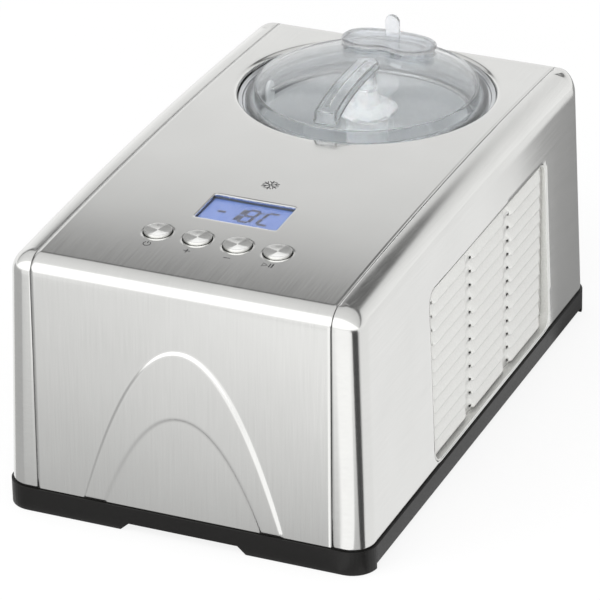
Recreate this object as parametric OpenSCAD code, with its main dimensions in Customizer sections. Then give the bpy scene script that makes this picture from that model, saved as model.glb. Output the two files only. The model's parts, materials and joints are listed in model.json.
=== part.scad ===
// Compressor ice cream maker: a steel-clad box on a black base, with a bowl well
// under a clear domed lid, a paddle driven from below, and its own cooling circuit.
// Millimetres. The origin is at the middle of the underside, +Z is up, -Y is the front.

/* [Body] */
// Width across the base
body_w = 268; // [262:1:290]
// Depth from front to back across the base
body_d = 425; // [422:1:445]
// Height of the middle of the crowned top
body_h = 195.5; // [194:0.5:215]
// Height of the black base
base_h = 18; // [17:0.5:20]
// How far the top's front and back edges lie below its middle
crown = 6; // [3:0.5:8]
// How far each side leans in over its height
side_lean = 5.5; // [2:0.5:6]
// How far the front leans back over its height
front_lean = 5; // [3:0.5:8]
// How far the rear leans in over its height
rear_lean = 3; // [1:0.5:3.5]
// Radius of the bend between the front and the top
front_bend_r = 15; // [12:0.5:16]
// Radius of the bend between the top and the rear
rear_bend_r = 4; // [3:0.5:4.5]
// Radius of the shoulder along the top of each side
shoulder_r = 16; // [13:0.5:16]
// Radius of the four upright corners
corner_r = 16.5; // [16.5:0.5:19]
// Thickness of the steel sheets
sheet_t = 1; // [0.8:0.1:1.2]
// How far the steel stands in from the edge of the base
base_lip = 1.5; // [1.4:0.1:2]
// Distance of the two seams from the sides of the base
seam_inset = 26; // [24:0.5:28]
// Width of the two seams
seam_gap = 0.5; // [0.3:0.1:0.8]

/* [Front arch] */
// Height of the top of the raised arch
arch_top_z = 142; // [130:1:150]
// Height of the top of the gap under the arch
arch_inner_z = 91; // [80:1:100]
// Height of the feet of the arch
arch_foot_z = 21; // [21:0.5:26]
// Half the width over the feet of the arch
arch_outer_x = 73; // [68:0.5:80]
// Half the width between the feet of the arch
arch_inner_x = 55.7; // [50:0.5:60]
// How far the arch stands out
arch_rise = 1.4; // [0.8:0.1:1.4]

/* [Side vents] */
// Front edge of the vent field
vent_y0 = -88; // [-92:1:-80]
// Rear edge of the vent field
vent_y1 = 133; // [131:1:140]
// Bottom of the vent field
vent_z0 = 20.5; // [20.5:0.5:22]
// Top of the vent field
vent_z1 = 151.5; // [151:0.5:156]
// Corner radius of the vent field
vent_r = 10; // [6:1:14]
// How far the louvred plate lies inside the edge of the base
vent_inset = 8.4; // [8:0.1:9.5]
// Thickness of the louvred plate and of its rim
vent_t = 1.2; // [1:0.1:1.4]
// How far the louvres stand out of their plate
louvre_rise = 3; // [2.4:0.1:3.2]
// Louvres in a column
louvre_rows = 12; // [8:1:12]
// Columns of louvres
louvre_columns = 3; // [2:1:3]
// Height from one louvre to the next
louvre_pitch = 10.5; // [10:0.1:10.5]
// Length of a louvre
louvre_len = 63.5; // [56:0.5:64]
// Distance from one column of louvres to the next
column_pitch = 72; // [70:0.5:72]

/* [Base] */
// Height of the rubber feet, under the floor plate
foot_h = 8; // [7:0.5:8.5]
// Radius of a rubber foot
foot_r = 10; // [8:0.5:12]
// Gap between the skirt of the base and the table
skirt_gap = 0.6; // [0.4:0.1:1]
// Thickness of the floor plate
floor_t = 3; // [2.4:0.2:3]
// Height of the notches under the front and the rear
notch_h = 6; // [4:0.5:6.5]
// Half the length of the notches under the front and the rear
notch_x = 46; // [36:1:56]
// Height of the long notches under the sides
side_notch_h = 4.6; // [3:0.2:5]

/* [Controls] */
// Radius of a button
button_r = 9.6; // [8:0.2:10.4]
// Distance between buttons
button_pitch = 29; // [27:0.5:30]
// Distance of the row of buttons from the front of the base
button_front = 69; // [66.5:0.5:72.5]
// How far a button stands out of the top
button_rise = 1.8; // [1:0.1:2.4]
// How far a button travels
button_travel = 1.2; // [0.8:0.1:1.2]
// Gap around a button
button_gap = 0.7; // [0.5:0.1:0.8]
// Half the width of the display opening
display_hw = 30; // [26:0.5:31]
// Distance of the display opening from the front of the base
display_front = 97; // [95:0.5:100]
// Length of the display opening from front to back
display_d = 34.5; // [28:0.5:36]
// Depth of the display window below the top sheet
display_depth = 3.2; // [2:0.2:4]

/* [Well and bowl] */
// Distance of the middle of the well from the rear of the base
well_back = 99; // [99:0.5:101]
// Radius of the round opening in the top
well_r = 92; // [90:0.5:92]
// Height of the ledge around the lid
ledge_z = 189.2; // [187.5:0.1:189.2]
// Radius inside the ledge
ledge_r = 88.4; // [87.5:0.1:88.6]
// How far the lid's seat lies below the ledge
seat_drop = 2.6; // [2:0.1:3]
// Radius of the wall of the well below the lid
throat_r = 79.4; // [79.2:0.1:79.6]
// Height of the rim of the bowl
bowl_rim_z = 172; // [168:0.5:173]
// Inside radius of the bowl
bowl_r = 73; // [70:0.5:73]
// Wall of the bowl
bowl_t = 1.5; // [1.2:0.1:1.6]
// Gap between the bowl and the cold can around it
bowl_gap = 0.6; // [0.4:0.1:0.8]
// Wall of the cold can
can_t = 1.5; // [1.2:0.1:1.6]
// Diameter of the cooling tube around the can
coil_d = 6; // [5:0.2:6.4]
// Turns of the cooling tube
coil_turns = 8; // [5:1:9]
// Outside radius of the foam around the can
foam_r = 92; // [90:0.5:92]
// Thickness of the foam under the can
foam_floor_t = 12; // [9:0.5:12]
// Outside radius of the tube in the middle of the bowl
bowl_tube_r = 10.5; // [10:0.1:10.7]

/* [Paddle] */
// Outside radius of the paddle's column
column_r = 14.9; // [14:0.1:16]
// Radius of the flange at the top of the paddle
paddle_flange_r = 22; // [18:0.5:24]
// Height of the top face of the paddle's flange
paddle_flange_z = 181; // [179:0.5:182]
// Height of the paddle's knob above its flange
knob_h = 13; // [10:0.5:13]
// Gap between the paddle's blades and the bowl
blade_gap = 1.6; // [1:0.1:3]
// Thickness of the blades
blade_t = 4; // [3:0.5:6]
// Height of the blades above the floor of the bowl
blade_h = 54; // [40:1:60]
// Direction of the blades when the paddle rests
blade_turn = 24; // [0:1:40]

/* [Lid] */
// Outside radius of the lid's flange
lid_r = 86.4; // [85.5:0.1:86.6]
// Thickness of the clear plastic
lid_t = 2.2; // [1.8:0.1:2.4]
// Height of the upright part of the lid above its flange
lid_wall_h = 8.4; // [6:0.2:10]
// How far the dome rises
dome_rise = 11.4; // [8:0.2:12]
// Depth of the ring under the lid that finds the well
lid_skirt_h = 5.6; // [4:0.2:6]
// Width of the lid's handle
handle_w = 18; // [14:0.5:20]
// Height of the handle over the dome at its front end
handle_front_h = 9; // [7:0.5:13]
// Height of the handle over the dome at the middle
handle_hub_h = 4.8; // [4:0.2:8]
// Half the width of the filling opening's rim
port_a = 34; // [30:0.5:35]
// Distance of the filling opening's middle behind the middle of the lid
port_y = 41; // [38:0.5:42]
// Reach of the filling opening towards the middle of the lid
port_front = 16; // [12:0.5:18]
// Reach of the filling opening towards the back of the lid
port_back = 18; // [14:0.5:20]
// Height of the filling opening's rim above the top of the dome
port_rise = 1.2; // [1:0.2:4]
// Height of the tab on the filling cap
tab_h = 17; // [12:0.5:20]
// Width of the tab
tab_w = 10.6; // [8:0.2:14]

/* [Drive] */
// Teeth on the output gear
output_teeth = 63; // [63:1:63]
// Teeth on the small gear of the idler
idler_small_teeth = 11; // [11:1:11]
// Teeth on the large gear of the idler
idler_large_teeth = 48; // [48:1:48]
// Teeth on the motor's pinion
pinion_teeth = 12; // [12:1:12]
// Module of the output stage
output_module = 2; // [1.9:0.05:2]
// Module of the motor stage
motor_module = 1.5; // [1.4:0.05:1.5]
// Play between the teeth
backlash = 0.25; // [0.2:0.05:0.4]
// Thickness of the gears
gear_t = 8; // [6:0.5:8]
// Radius of the drive shaft
shaft_r = 6; // [5:0.1:6]
// Running clearance of the shafts in their bushes
run_gap = 0.06; // [0.03:0.01:0.09]
// Radius of the motor
motor_r = 22; // [20:0.5:22]
// Height of the motor
motor_h = 62; // [50:1:80]

/* [Cooling] */
// Radius of the compressor
comp_r = 56; // [50:0.5:57]
// Height of the compressor
comp_h = 116; // [100:1:125]
// Distance of the compressor's middle from the right side of the base
comp_side = 86; // [84:0.5:90]
// Distance of the compressor's middle from the front of the base
comp_front = 96.5; // [90:0.5:98]
// Fins of the condenser
fin_count = 15; // [8:1:16]
// Distance from fin to fin
fin_pitch = 8; // [6:0.5:8]
// Passes of the condenser's tube
tube_passes = 5; // [3:2:5]
// Height of the condenser
condenser_h = 112; // [80:1:118]
// Radius of the fan
fan_r = 43; // [36:0.5:43]
// Blades of the fan
fan_blades = 7; // [5:1:9]
// Length of the filter drier
drier_l = 50; // [40:1:60]
// Radius of the filter drier
drier_r = 9; // [7:0.5:10]

/* [Electrics] */
// Distance of the power board from the left side of the base
power_side = 30; // [28:1:34]
// Length of the power board
power_l = 100; // [80:1:104]
// Height of the power board
power_h = 70; // [60:1:80]
// Thickness of the circuit boards
board_t = 1.6; // [1:0.2:2]
// Width of the transformer, from the board
transformer_w = 30; // [22:1:32]
// Height of the transformer's coil
transformer_h = 46; // [40:1:52]
// Radius of the capacitor
cap_r = 17; // [14:0.5:18]
// Height of the capacitor
cap_h = 58; // [45:1:70]
// Radius of the hole that the cord comes in by
inlet_r = 7; // [6:0.5:8]

/* [Hidden] */
$fn = 96;

fit = 0.3;
over = 1;
seam_x = body_w / 2 - seam_inset;
vent_plate_x = body_w / 2 - vent_inset;
well_y = body_d / 2 - well_back;
button_y = button_front - body_d / 2;
display_y0 = display_front - body_d / 2;
display_y1 = display_y0 + display_d;
comp_x = body_w / 2 - comp_side;
comp_y = comp_front - body_d / 2;
case_t = 3;
case_h = 2 * gear_t + 17;

steel = "#c9cac9";
black = "#23231f";

// ---- outline of the body -------------------------------------------------

crown_r = (body_d * body_d / 4 + crown * crown) / (2 * crown);
function crown_z(y) = body_h - crown_r + sqrt(crown_r * crown_r - y * y);

// Share of the height at which a wall is, from the base to the middle of the top
function rise_at(z) = (z - base_h) / (body_h - base_h);
function side_x(z) = body_w / 2 - base_lip - side_lean * rise_at(z);
function front_y(z) = -(body_d / 2 - base_lip) + front_lean * rise_at(z);
function rear_y(z) = body_d / 2 - base_lip - rear_lean * rise_at(z);

// Bend radius at the top of the wall that faces the direction th
function bend_r(th) = shoulder_r
    + ((th < 0 ? front_bend_r : rear_bend_r) - shoulder_r) * sin(th) * sin(th);

// A point of the right half of the body's skin. t runs from the front corner to the
// rear one, th is the way the wall faces, a climbs the bend from 0 to 90, and
// a below 0 is the foot of the wall.
function skin(t, th, a, inset) =
    let (z = a < 0 ? base_h : body_h - shoulder_r * (1 - sin(a)),
        r = bend_r(th) - inset,
        off = inset + (a < 0 ? 0 : r * (1 - cos(a))),
        y0 = front_y(z) + corner_r,
        y1 = rear_y(z) - corner_r,
        x = side_x(z) - corner_r + (corner_r - off) * cos(th),
        y = y0 + (y1 - y0) * t + (corner_r - off) * sin(th))
    [x, y, a < 0 ? base_h - inset : crown_z(y) - inset - r * (1 - sin(a))];

corner_steps = 5;
side_steps = 8;
bend_angles = [0, 18, 36, 54, 72, 90];
ring_places = concat(
    [for (i = [0:corner_steps]) [0, -90 + 90 * i / corner_steps]],
    [for (i = [1:side_steps - 1]) [i / side_steps, 0]],
    [for (i = [0:corner_steps]) [1, 90 * i / corner_steps]]);
half_count = len(ring_places);
ring_count = 2 * half_count;
levels = concat([-1], bend_angles);

function skin_ring(a, inset) =
    let (half = [for (p = ring_places) skin(p[0], p[1], a, inset)])
    concat(half, [for (i = [half_count - 1:-1:0]) [-half[i][0], half[i][1], half[i][2]]]);

// The whole closed body, with its skin moved in by inset
module body_form(inset) {
    points = [for (a = levels) each skin_ring(a, inset)];
    top = (len(levels) - 1) * ring_count;
    walls = [for (k = [0:len(levels) - 2], i = [0:ring_count - 1])
        let (p = k * ring_count + i,
            q = k * ring_count + (i + 1) % ring_count)
        each [[p, p + ring_count, q], [q, p + ring_count, q + ring_count]]];
    cap = [for (i = [0:half_count - 2])
        let (p = top + i, m = top + ring_count - 1 - i)
        each [[p, m, p + 1], [p + 1, m, m - 1]]];
    foot = [[for (i = [0:ring_count - 1]) i]];
    polyhedron(points, concat(walls, cap, foot), convexity = 4);
}

// Side view of the middle of the body, as (y, z) points
function middle_outline(inset) = concat(
    [for (a = levels) let (p = skin(0, -90, a, inset)) [p[1], p[2]]],
    [for (i = [1:side_steps - 1]) let (p = skin(i / side_steps, 0, 90, inset)) [p[1], crown_z(p[1]) - inset]],
    [for (i = [len(levels) - 1:-1:0]) let (p = skin(1, 90, levels[i], inset)) [p[1], p[2]]]);

// Carries a (y, z) outline across the machine, from -half to half
module across(half) {
    translate([-half, 0, 0]) rotate([90, 0, 90]) linear_extrude(2 * half) children();
}

module middle_sheet() {
    across(seam_x - seam_gap / 2) difference() {
        polygon(middle_outline(0));
        polygon(middle_outline(sheet_t));
    }
}

module rounded_box(w, d, r, z0, z1) {
    translate([0, 0, z0]) linear_extrude(z1 - z0) rounded_rect(w, d, r);
}

module rounded_rect(w, d, r) {
    square([w - 2 * r, d], center = true);
    square([w, d - 2 * r], center = true);
    for (sx = [-1, 1], sy = [-1, 1]) translate([sx * (w / 2 - r), sy * (d / 2 - r)]) circle(r);
}

module tube(r_out, r_in, z0, z1) {
    translate([0, 0, z0]) linear_extrude(z1 - z0) difference() {
        circle(r_out);
        circle(r_in);
    }
}

module rod(r, z0, z1) {
    translate([0, 0, z0]) cylinder(r = r, h = z1 - z0);
}

function unit(v) = v / norm(v);

// A pipe of radius r along stretches that meet square, with bends of radius b
module pipe_run(points, r, b) {
    last = len(points) - 2;
    for (i = [0:last]) {
        u = unit(points[i + 1] - points[i]);
        start = i == 0 ? 0 : b;
        l = norm(points[i + 1] - points[i]) - start - (i == last ? 0 : b);
        translate(points[i] + start * u) rotate([0, acos(u[2]), atan2(u[1], u[0])])
            cylinder(r = r, h = l, $fn = 32);
        if (i < last) {
            v = unit(points[i + 2] - points[i + 1]);
            w = cross(u, v);
            c = points[i + 1] - b * u + b * v;
            multmatrix([[-v[0], u[0], w[0], c[0]], [-v[1], u[1], w[1], c[1]], [-v[2], u[2], w[2], c[2]]])
                rotate_extrude(angle = 90) translate([b, 0]) circle(r, $fn = 32);
        }
    }
}

// ---- base ----------------------------------------------------------------

floor_z = foot_h;
floor_top = floor_z + floor_t;
skirt_t = base_lip + sheet_t + fit + 1.6;
notch_slope = 6;
foot_x = body_w / 2 - skirt_t - foot_r - 8;
foot_y = body_d / 2 - skirt_t - foot_r - 8;
foot_stem_r = 3;
foot_stem_h = floor_t + 3;
rear_screw_x = seam_x - 30;
rear_screw_z = base_h + 7;
rear_screw_r = 1.5;
rear_post = 9;
rear_post_y = rear_y(rear_screw_z) - sheet_t - fit - rear_post;

module each_foot() {
    for (sx = [-1, 1], sy = [-1, 1]) translate([sx * foot_x, sy * foot_y, 0]) children();
}

module each_rear_screw() {
    for (i = [-1:1]) translate([i * rear_screw_x, rear_y(rear_screw_z), rear_screw_z])
        rotate([-90, 0, 0]) children();
}

module notch_cut(sy) {
    translate([0, sy * body_d / 2, 0]) rotate([90, 0, 0]) translate([0, 0, -2 * skirt_t])
        linear_extrude(4 * skirt_t) polygon([[-notch_x, -over], [-notch_x, skirt_gap],
            [-notch_x + notch_slope, notch_h], [notch_x - notch_slope, notch_h],
            [notch_x, skirt_gap], [notch_x, -over]]);
}

module base_tray() color(black) difference() {
    union() {
        difference() {
            rounded_box(body_w, body_d, corner_r + base_lip, skirt_gap, base_h);
            rounded_box(body_w - 2 * skirt_t, body_d - 2 * skirt_t, corner_r + base_lip - skirt_t,
                skirt_gap - over, base_h + over);
        }
        difference() {
            lip = 2 * (base_lip + sheet_t + fit);
            rounded_box(body_w - lip, body_d - lip, corner_r - sheet_t - fit, base_h - over, base_h + 1.8);
            rounded_box(body_w - 2 * skirt_t, body_d - 2 * skirt_t, corner_r + base_lip - skirt_t,
                base_h - 2 * over, base_h + 2 * over);
        }
        rounded_box(body_w - 2 * skirt_t + over, body_d - 2 * skirt_t + over,
            corner_r + base_lip - skirt_t, floor_z, floor_top);
        for (i = [-1:1]) translate([i * rear_screw_x - rear_post / 2, rear_post_y, floor_top - over / 2])
            cube([rear_post, rear_post, rear_screw_z + 5 - floor_top]);
    }
    notch_cut(-1);
    notch_cut(1);
    for (sx = [-1, 1]) translate([sx * body_w / 2 - 2 * skirt_t, -(body_d / 2 - corner_r), -over])
        cube([4 * skirt_t, body_d - 2 * corner_r, over + side_notch_h]);
    each_foot() rod(foot_stem_r + 0.1, floor_z - over, floor_top + over);
    each_rear_screw() translate([0, 0, -sheet_t - fit - rear_post - over])
        cylinder(r = rear_screw_r + 0.05, h = rear_post + sheet_t + fit + over);
    for (i = [0:6]) translate([-96, -178 + 15 * i, floor_z - over]) cube([58, 6, floor_t + 2 * over]);
    for (p = comp_feet) translate([p[0], p[1], 0]) rod(comp_bolt_r + 0.1, floor_z - over, floor_top + over);
    for (p = case_screws) translate([p[0], p[1], 0]) rod(case_screw_r + 0.1, floor_z - over, floor_top + over);
}

module rubber_feet() color("#2b2b2b") each_foot() {
    rod(foot_r, 0, floor_z);
    rod(foot_stem_r, floor_z, floor_z + foot_stem_h);
}

// ---- steel panels --------------------------------------------------------

lean_deg = atan(front_lean / (body_h - base_h));
rear_split_z = skin(1, 90, 0, 0)[2] - 3;
lip_z = ledge_z - 3;

function arch(half, top) = [for (i = [-12:12]) let (x = half * i / 12)
    [x, top - (top - arch_foot_z) * pow(abs(x / half), 2.05) - base_h]];

module arch_band() {
    translate([0, front_y(base_h), base_h]) rotate([90 - lean_deg, 0, 0])
        translate([0, 0, -sheet_t / 2]) linear_extrude(arch_rise + sheet_t / 2)
            polygon(concat(arch(arch_outer_x, arch_top_z),
                [for (p = arch(arch_inner_x, arch_inner_z)) [-p[0], p[1]]]));
}

module front_top_panel() color(steel) difference() {
    union() {
        difference() {
            middle_sheet();
            translate([-body_w, 0, 0]) cube([2 * body_w, body_d, rear_split_z]);
        }
        arch_band();
        intersection() {
            translate([0, well_y, 0]) tube(well_r + sheet_t, well_r, lip_z, body_h + over);
            across(seam_x - seam_gap / 2) polygon(middle_outline(sheet_t / 2));
        }
    }
    translate([0, well_y, 0]) rod(well_r, lip_z - over, body_h + over);
    display_hole(0);
    each_button() rod(button_r + button_gap, button_z - 20, button_z + 20);
}

module rear_panel() color(steel) difference() {
    intersection() {
        middle_sheet();
        translate([-body_w, body_d / 4, 0]) cube([2 * body_w, body_d, rear_split_z - 0.4]);
    }
    each_rear_screw() translate([0, 0, -10]) cylinder(r = rear_screw_r + 0.2, h = 20);
    for (sx = [-1, 1], i = [0:8]) translate([sx * 62 - 26, body_d / 4, 62 + 9 * i])
        cube([52, body_d, 3.6]);
    translate([inlet_x, body_d / 4, inlet_z]) rotate([-90, 0, 0]) cylinder(r = inlet_r, h = body_d);
}

module side_shell() difference() {
    intersection() {
        difference() {
            body_form(0);
            body_form(sheet_t);
        }
        translate([seam_x + seam_gap / 2, -body_d, base_h]) cube([body_w, 2 * body_d, body_h]);
    }
    vent_block(0, seam_x + 12, body_w);
}

module side_panel_right() color(steel) side_shell();

module side_panel_left() color(steel) mirror([1, 0, 0]) side_shell();

module rear_screws() color("#8c8c8c") each_rear_screw() {
    rod(rear_screw_r, -rear_post, 0.1);
    rod(3, 0.1, 1.3);
}

// ---- side vents ----------------------------------------------------------

vent_yc = (vent_y0 + vent_y1) / 2;
vent_zc = (vent_z0 + vent_z1) / 2;
louvre_h = louvre_pitch - 1.7;
louvre_end = 3.5;
louvre_z0 = vent_zc - (louvre_rows * louvre_pitch - 1.7) / 2;
column_y0 = vent_yc - ((louvre_columns - 1) * column_pitch + louvre_len) / 2;

// The vent field, made smaller by gap, as a block from x0 to x1
module vent_block(gap, x0, x1) {
    translate([x0, vent_yc, vent_zc]) rotate([90, 0, 90]) linear_extrude(x1 - x0)
        rounded_rect(vent_y1 - vent_y0 - 2 * gap, vent_z1 - vent_z0 - 2 * gap, vent_r - gap);
}

// One column of louvres, moved in by back and narrowed by trim at both ends
module louvre_column(y0, back, trim) {
    x = vent_plate_x - back;
    intersection() {
        translate([0, y0 + louvre_len, 0]) rotate([90, 0, 0]) linear_extrude(louvre_len)
            for (i = [0:louvre_rows - 1]) let (z = louvre_z0 + i * louvre_pitch)
                polygon([[x, z], [x + louvre_rise, z], [x, z + louvre_h]]);
        translate([0, y0, 0]) linear_extrude(body_h) polygon([[x, trim], [x + louvre_rise, trim + louvre_end],
            [x + louvre_rise, louvre_len - trim - louvre_end], [x, louvre_len - trim]]);
    }
}

module vent_grille() {
    difference() {
        union() {
            intersection() {
                difference() {
                    vent_block(fit, vent_plate_x - vent_t, body_w / 2);
                    vent_block(fit + vent_t, vent_plate_x, body_w / 2 + over);
                }
                rotate([90, 0, 0]) translate([0, 0, -body_d / 2]) linear_extrude(body_d)
                    polygon([[0, 0], [side_x(0), 0], [side_x(body_h), body_h], [0, body_h]]);
            }
            for (i = [0:louvre_columns - 1]) louvre_column(column_y0 + i * column_pitch, 0, 0);
        }
        for (i = [0:louvre_columns - 1]) louvre_column(column_y0 + i * column_pitch, vent_t + 0.1, 1.2);
    }
}

module vent_grille_right() color("#d6d6d2") vent_grille();

module vent_grille_left() color("#d6d6d2") mirror([1, 0, 0]) vent_grille();

// ---- cord inlet ----------------------------------------------------------

inlet_x = -(seam_x - 30);
inlet_z = base_h + 26;

module cord_inlet() color(black) translate([inlet_x, rear_y(inlet_z), inlet_z]) rotate([90, 0, 0]) difference() {
    union() {
        rod(inlet_r + 2.5, -1.3, -0.2);
        rod(inlet_r - fit, -1.3, 14);
        rod(inlet_r + 2, sheet_t + fit, sheet_t + 5);
    }
    rod(3.4, -2, 15);
}

// ---- well ----------------------------------------------------------------

seat_z = ledge_z - seat_drop;
collar_r = well_r - fit;
can_top = bowl_rim_z - 2.5;
can_floor = floor_top + case_h + 2.5 + foam_floor_t + 0.2;
bowl_floor = can_floor + can_t;
can_r = bowl_r + bowl_t + bowl_gap;
can_flange_r = throat_r + 2.2;
bush_r = 8;
bowl_inside = bowl_floor + bowl_t;
bowl_tube_top = bowl_rim_z - 32;
coil_gap = 0.8;
coil_r = can_r + can_t + coil_gap + coil_d / 2;

module at_well() {
    translate([0, well_y, 0]) children();
}

module well_collar() color("#8f9193") at_well() rotate_extrude() polygon([
    [throat_r, can_top + 0.2], [can_flange_r + 1, can_top + 0.2], [can_flange_r + 1, seat_z - 2.4],
    [collar_r, seat_z - 2.4], [collar_r, ledge_z], [ledge_r + 0.8, ledge_z - 0.6], [ledge_r, ledge_z - 1.2],
    [ledge_r, seat_z], [throat_r, seat_z]]);

module evaporator_can() color("#b9bcc0") at_well() difference() {
    union() {
        rod(can_r + can_t, can_floor, can_top);
        rod(can_flange_r, can_top - 1.5, can_top);
    }
    rod(can_r, bowl_floor, can_top + over);
    rod(bush_r, can_floor - over, bowl_floor + over);
}

// The cooling tube wound around the can, from its foot to its flange
coil_sides = 8;
coil_steps = 24;
coil_z0 = can_floor + coil_d;
coil_z1 = can_top - 1.5 - coil_d;
coil_rings = coil_turns * coil_steps;

module evaporator_coil() color("#b5734a") at_well() {
    points = [for (i = [0:coil_rings], j = [0:coil_sides - 1])
        let (turn = 360 * i / coil_steps, a = 360 * j / coil_sides,
            z = coil_z0 + (coil_z1 - coil_z0) * i / coil_rings,
            r = coil_r + coil_d / 2 * cos(a))
        [r * cos(turn), r * sin(turn), z + coil_d / 2 * sin(a)]];
    walls = [for (i = [0:coil_rings - 1], j = [0:coil_sides - 1])
        let (p = i * coil_sides + j, q = i * coil_sides + (j + 1) % coil_sides)
        each [[p, p + coil_sides, q], [q, p + coil_sides, q + coil_sides]]];
    first = [[for (j = [0:coil_sides - 1]) j]];
    last = [[for (j = [coil_sides - 1:-1:0]) coil_rings * coil_sides + j]];
    polyhedron(points, concat(walls, first, last), convexity = 10);
}

module foam_shell() color("#e8dfc0") at_well() difference() {
    rod(foam_r, can_floor - foam_floor_t, can_top - 1.5);
    rod(coil_r + coil_d / 2 + 1, can_floor - 0.2, can_top);
    rod(bush_r + 3, 0, can_floor);
}

// ---- controls ------------------------------------------------------------

button_z = crown_z(button_y);
frame_z = button_z - 10;
frame_t = 2;
board_z = frame_z - 12;
switch_h = 2.4;
button_flange = 1.2;
display_yc = (display_y0 + display_y1) / 2;
window_z = crown_z(display_y1) - sheet_t - display_depth;
window_t = 1.8;
frame_hw = 66;
frame_y0 = button_y - button_r - 10;
frame_y1 = display_y1 + 10;
frame_posts = [for (sx = [-1, 1], y = [frame_y0 + 5, frame_y1 - 5]) [sx * (frame_hw - 5), y]];

module each_button() {
    for (i = [0:3]) translate([(i - 1.5) * button_pitch, button_y, 0]) children();
}

module display_hole(gap) {
    translate([0, display_yc, 0]) rounded_box(2 * (display_hw + gap), display_d + 2 * gap, 1.5 + gap,
        board_z + 5, body_h + over);
}

module control_frame() color("#5d6166") difference() {
    union() {
        translate([-frame_hw, frame_y0, frame_z]) cube([2 * frame_hw, frame_y1 - frame_y0, frame_t]);
        translate([0, display_yc, 0]) rounded_box(2 * display_hw + 4, display_d + 4, 3.5, frame_z,
            crown_z(display_y0) - sheet_t - fit);
        for (p = frame_posts) translate([p[0], p[1], 0])
            rod(3, board_z + board_t, crown_z(p[1] - 3) - sheet_t - 0.1);
    }
    display_hole(0);
    each_button() rod(3.4, frame_z - over, frame_z + frame_t + over);
}

module display_window() color("#6f8fd6", 0.6) translate([0, display_yc, 0])
    rounded_box(2 * display_hw - 0.4, display_d - 0.4, 1.3, window_z - window_t, window_z);

module display_module() color("#5b78c8") translate([0, display_yc, 0]) {
    rounded_box(2 * display_hw - 1, display_d - 1, 1, window_z - window_t - 5, window_z - window_t);
    for (sx = [-1, 1]) translate([sx * (display_hw - 6) - 2, -8, board_z + board_t])
        cube([4, 16, window_z - window_t - 4 - board_z - board_t]);
}

module control_board() color("#2f6b3c") translate([-frame_hw, frame_y0, board_z])
    cube([2 * frame_hw, frame_y1 - frame_y0, board_t]);

module tact_switches() color("#3a3a3a") each_button()
    translate([-3, -3, board_z + board_t]) cube([6, 6, switch_h]);

module button(i) color("#cfd0d0") translate([(i - 1.5) * button_pitch, button_y, 0]) {
    top = button_z + button_rise;
    skirt = button_z - sheet_t - 1.4;
    rod(button_r, skirt - over, top);
    rod(button_r + button_gap + 1, skirt - button_flange, skirt);
    rod(3, board_z + board_t + switch_h + button_travel + 0.1, skirt - button_flange + 0.2);
}

module button_power() button(0);

module button_time_up() button(1);

module button_time_down() button(2);

module button_start_stop() button(3);

// ---- drive ---------------------------------------------------------------

output_r = output_teeth * output_module / 2;
idler_small_r = idler_small_teeth * output_module / 2;
idler_large_r = idler_large_teeth * motor_module / 2;
pinion_r = pinion_teeth * motor_module / 2;
idler_y = well_y - output_r - idler_small_r;
motor_y = idler_y - idler_large_r - pinion_r;
low_gear_z = floor_top + case_t + 2.5;
high_gear_z = low_gear_z + gear_t + 2.5;
cover_z = floor_top + case_h - case_t;
case_gap = 4;
case_screw_r = 2;
case_screws = [for (sx = [-1, 1]) each [[sx * (output_r - 9), well_y + output_r - 9],
    [sx * (idler_large_r - 2), motor_y + 6]]];
idler_pin_r = 4;
rotor_r = 3;
pressure = 25;

// Angle that an involute has turned through where it has reached the radius r
function involute(rb, r) = let (t = sqrt(max(0, (r / rb) * (r / rb) - 1))) t * 180 / PI - atan(t);

// Outline of a spur gear, with a tooth on the X axis
function gear_points(teeth, m) =
    let (rp = teeth * m / 2, rb = rp * cos(pressure), ra = rp + 0.9 * m, rr = rp - 1.2 * m,
        half = 90 / teeth - backlash / 2 / rp * 180 / PI + involute(rb, rp),
        r0 = max(rb, rr),
        flank = [for (k = [0:3]) let (r = r0 + (ra - r0) * k / 3) [r, half - involute(rb, r)]])
    [for (i = [0:teeth - 1]) let (c = 360 * i / teeth, side = concat(rr < rb ? [[rr, half]] : [], flank))
        each concat([for (f = side) [f[0] * cos(c - f[1]), f[0] * sin(c - f[1])]],
            [for (k = [len(side) - 1:-1:0]) let (f = side[k]) [f[0] * cos(c + f[1]), f[0] * sin(c + f[1])]])];

module gear(teeth, m, turn, z) {
    translate([0, 0, z]) rotate([0, 0, turn]) linear_extrude(gear_t) polygon(gear_points(teeth, m));
}

// Plan of the gearbox, grown by g
module case_plan(g) {
    hull() {
        translate([0, well_y]) circle(output_r + case_gap + g);
        translate([0, idler_y]) circle(idler_large_r + case_gap + g);
    }
    hull() {
        translate([0, idler_y]) circle(idler_large_r + case_gap + g);
        translate([0, motor_y]) circle(pinion_r + case_gap + 8 + g);
    }
    for (p = case_screws) translate(p) circle(case_screw_r + 3 + g);
}

module gearbox_case() color("#3b3d40") difference() {
    union() {
        translate([0, 0, floor_top]) linear_extrude(case_h - case_t - 0.1) case_plan(case_t);
    }
    difference() {
        translate([0, 0, floor_top + case_t]) linear_extrude(case_h) case_plan(0);
        at_well() rod(bush_r + 3, floor_top, low_gear_z);
        translate([0, idler_y, 0]) rod(idler_pin_r + 3, floor_top, low_gear_z - 0.3);
        for (p = case_screws) translate([p[0], p[1], 0]) rod(case_screw_r + 3, floor_top, cover_z);
    }
    at_well() rod(bush_r, floor_top - over, low_gear_z + over);
    translate([0, idler_y, 0]) rod(idler_pin_r, floor_top - over, low_gear_z + over);
    for (p = case_screws) translate([p[0], p[1], 0]) rod(case_screw_r + 0.1, floor_top - over, cover_z + over);
}

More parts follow.
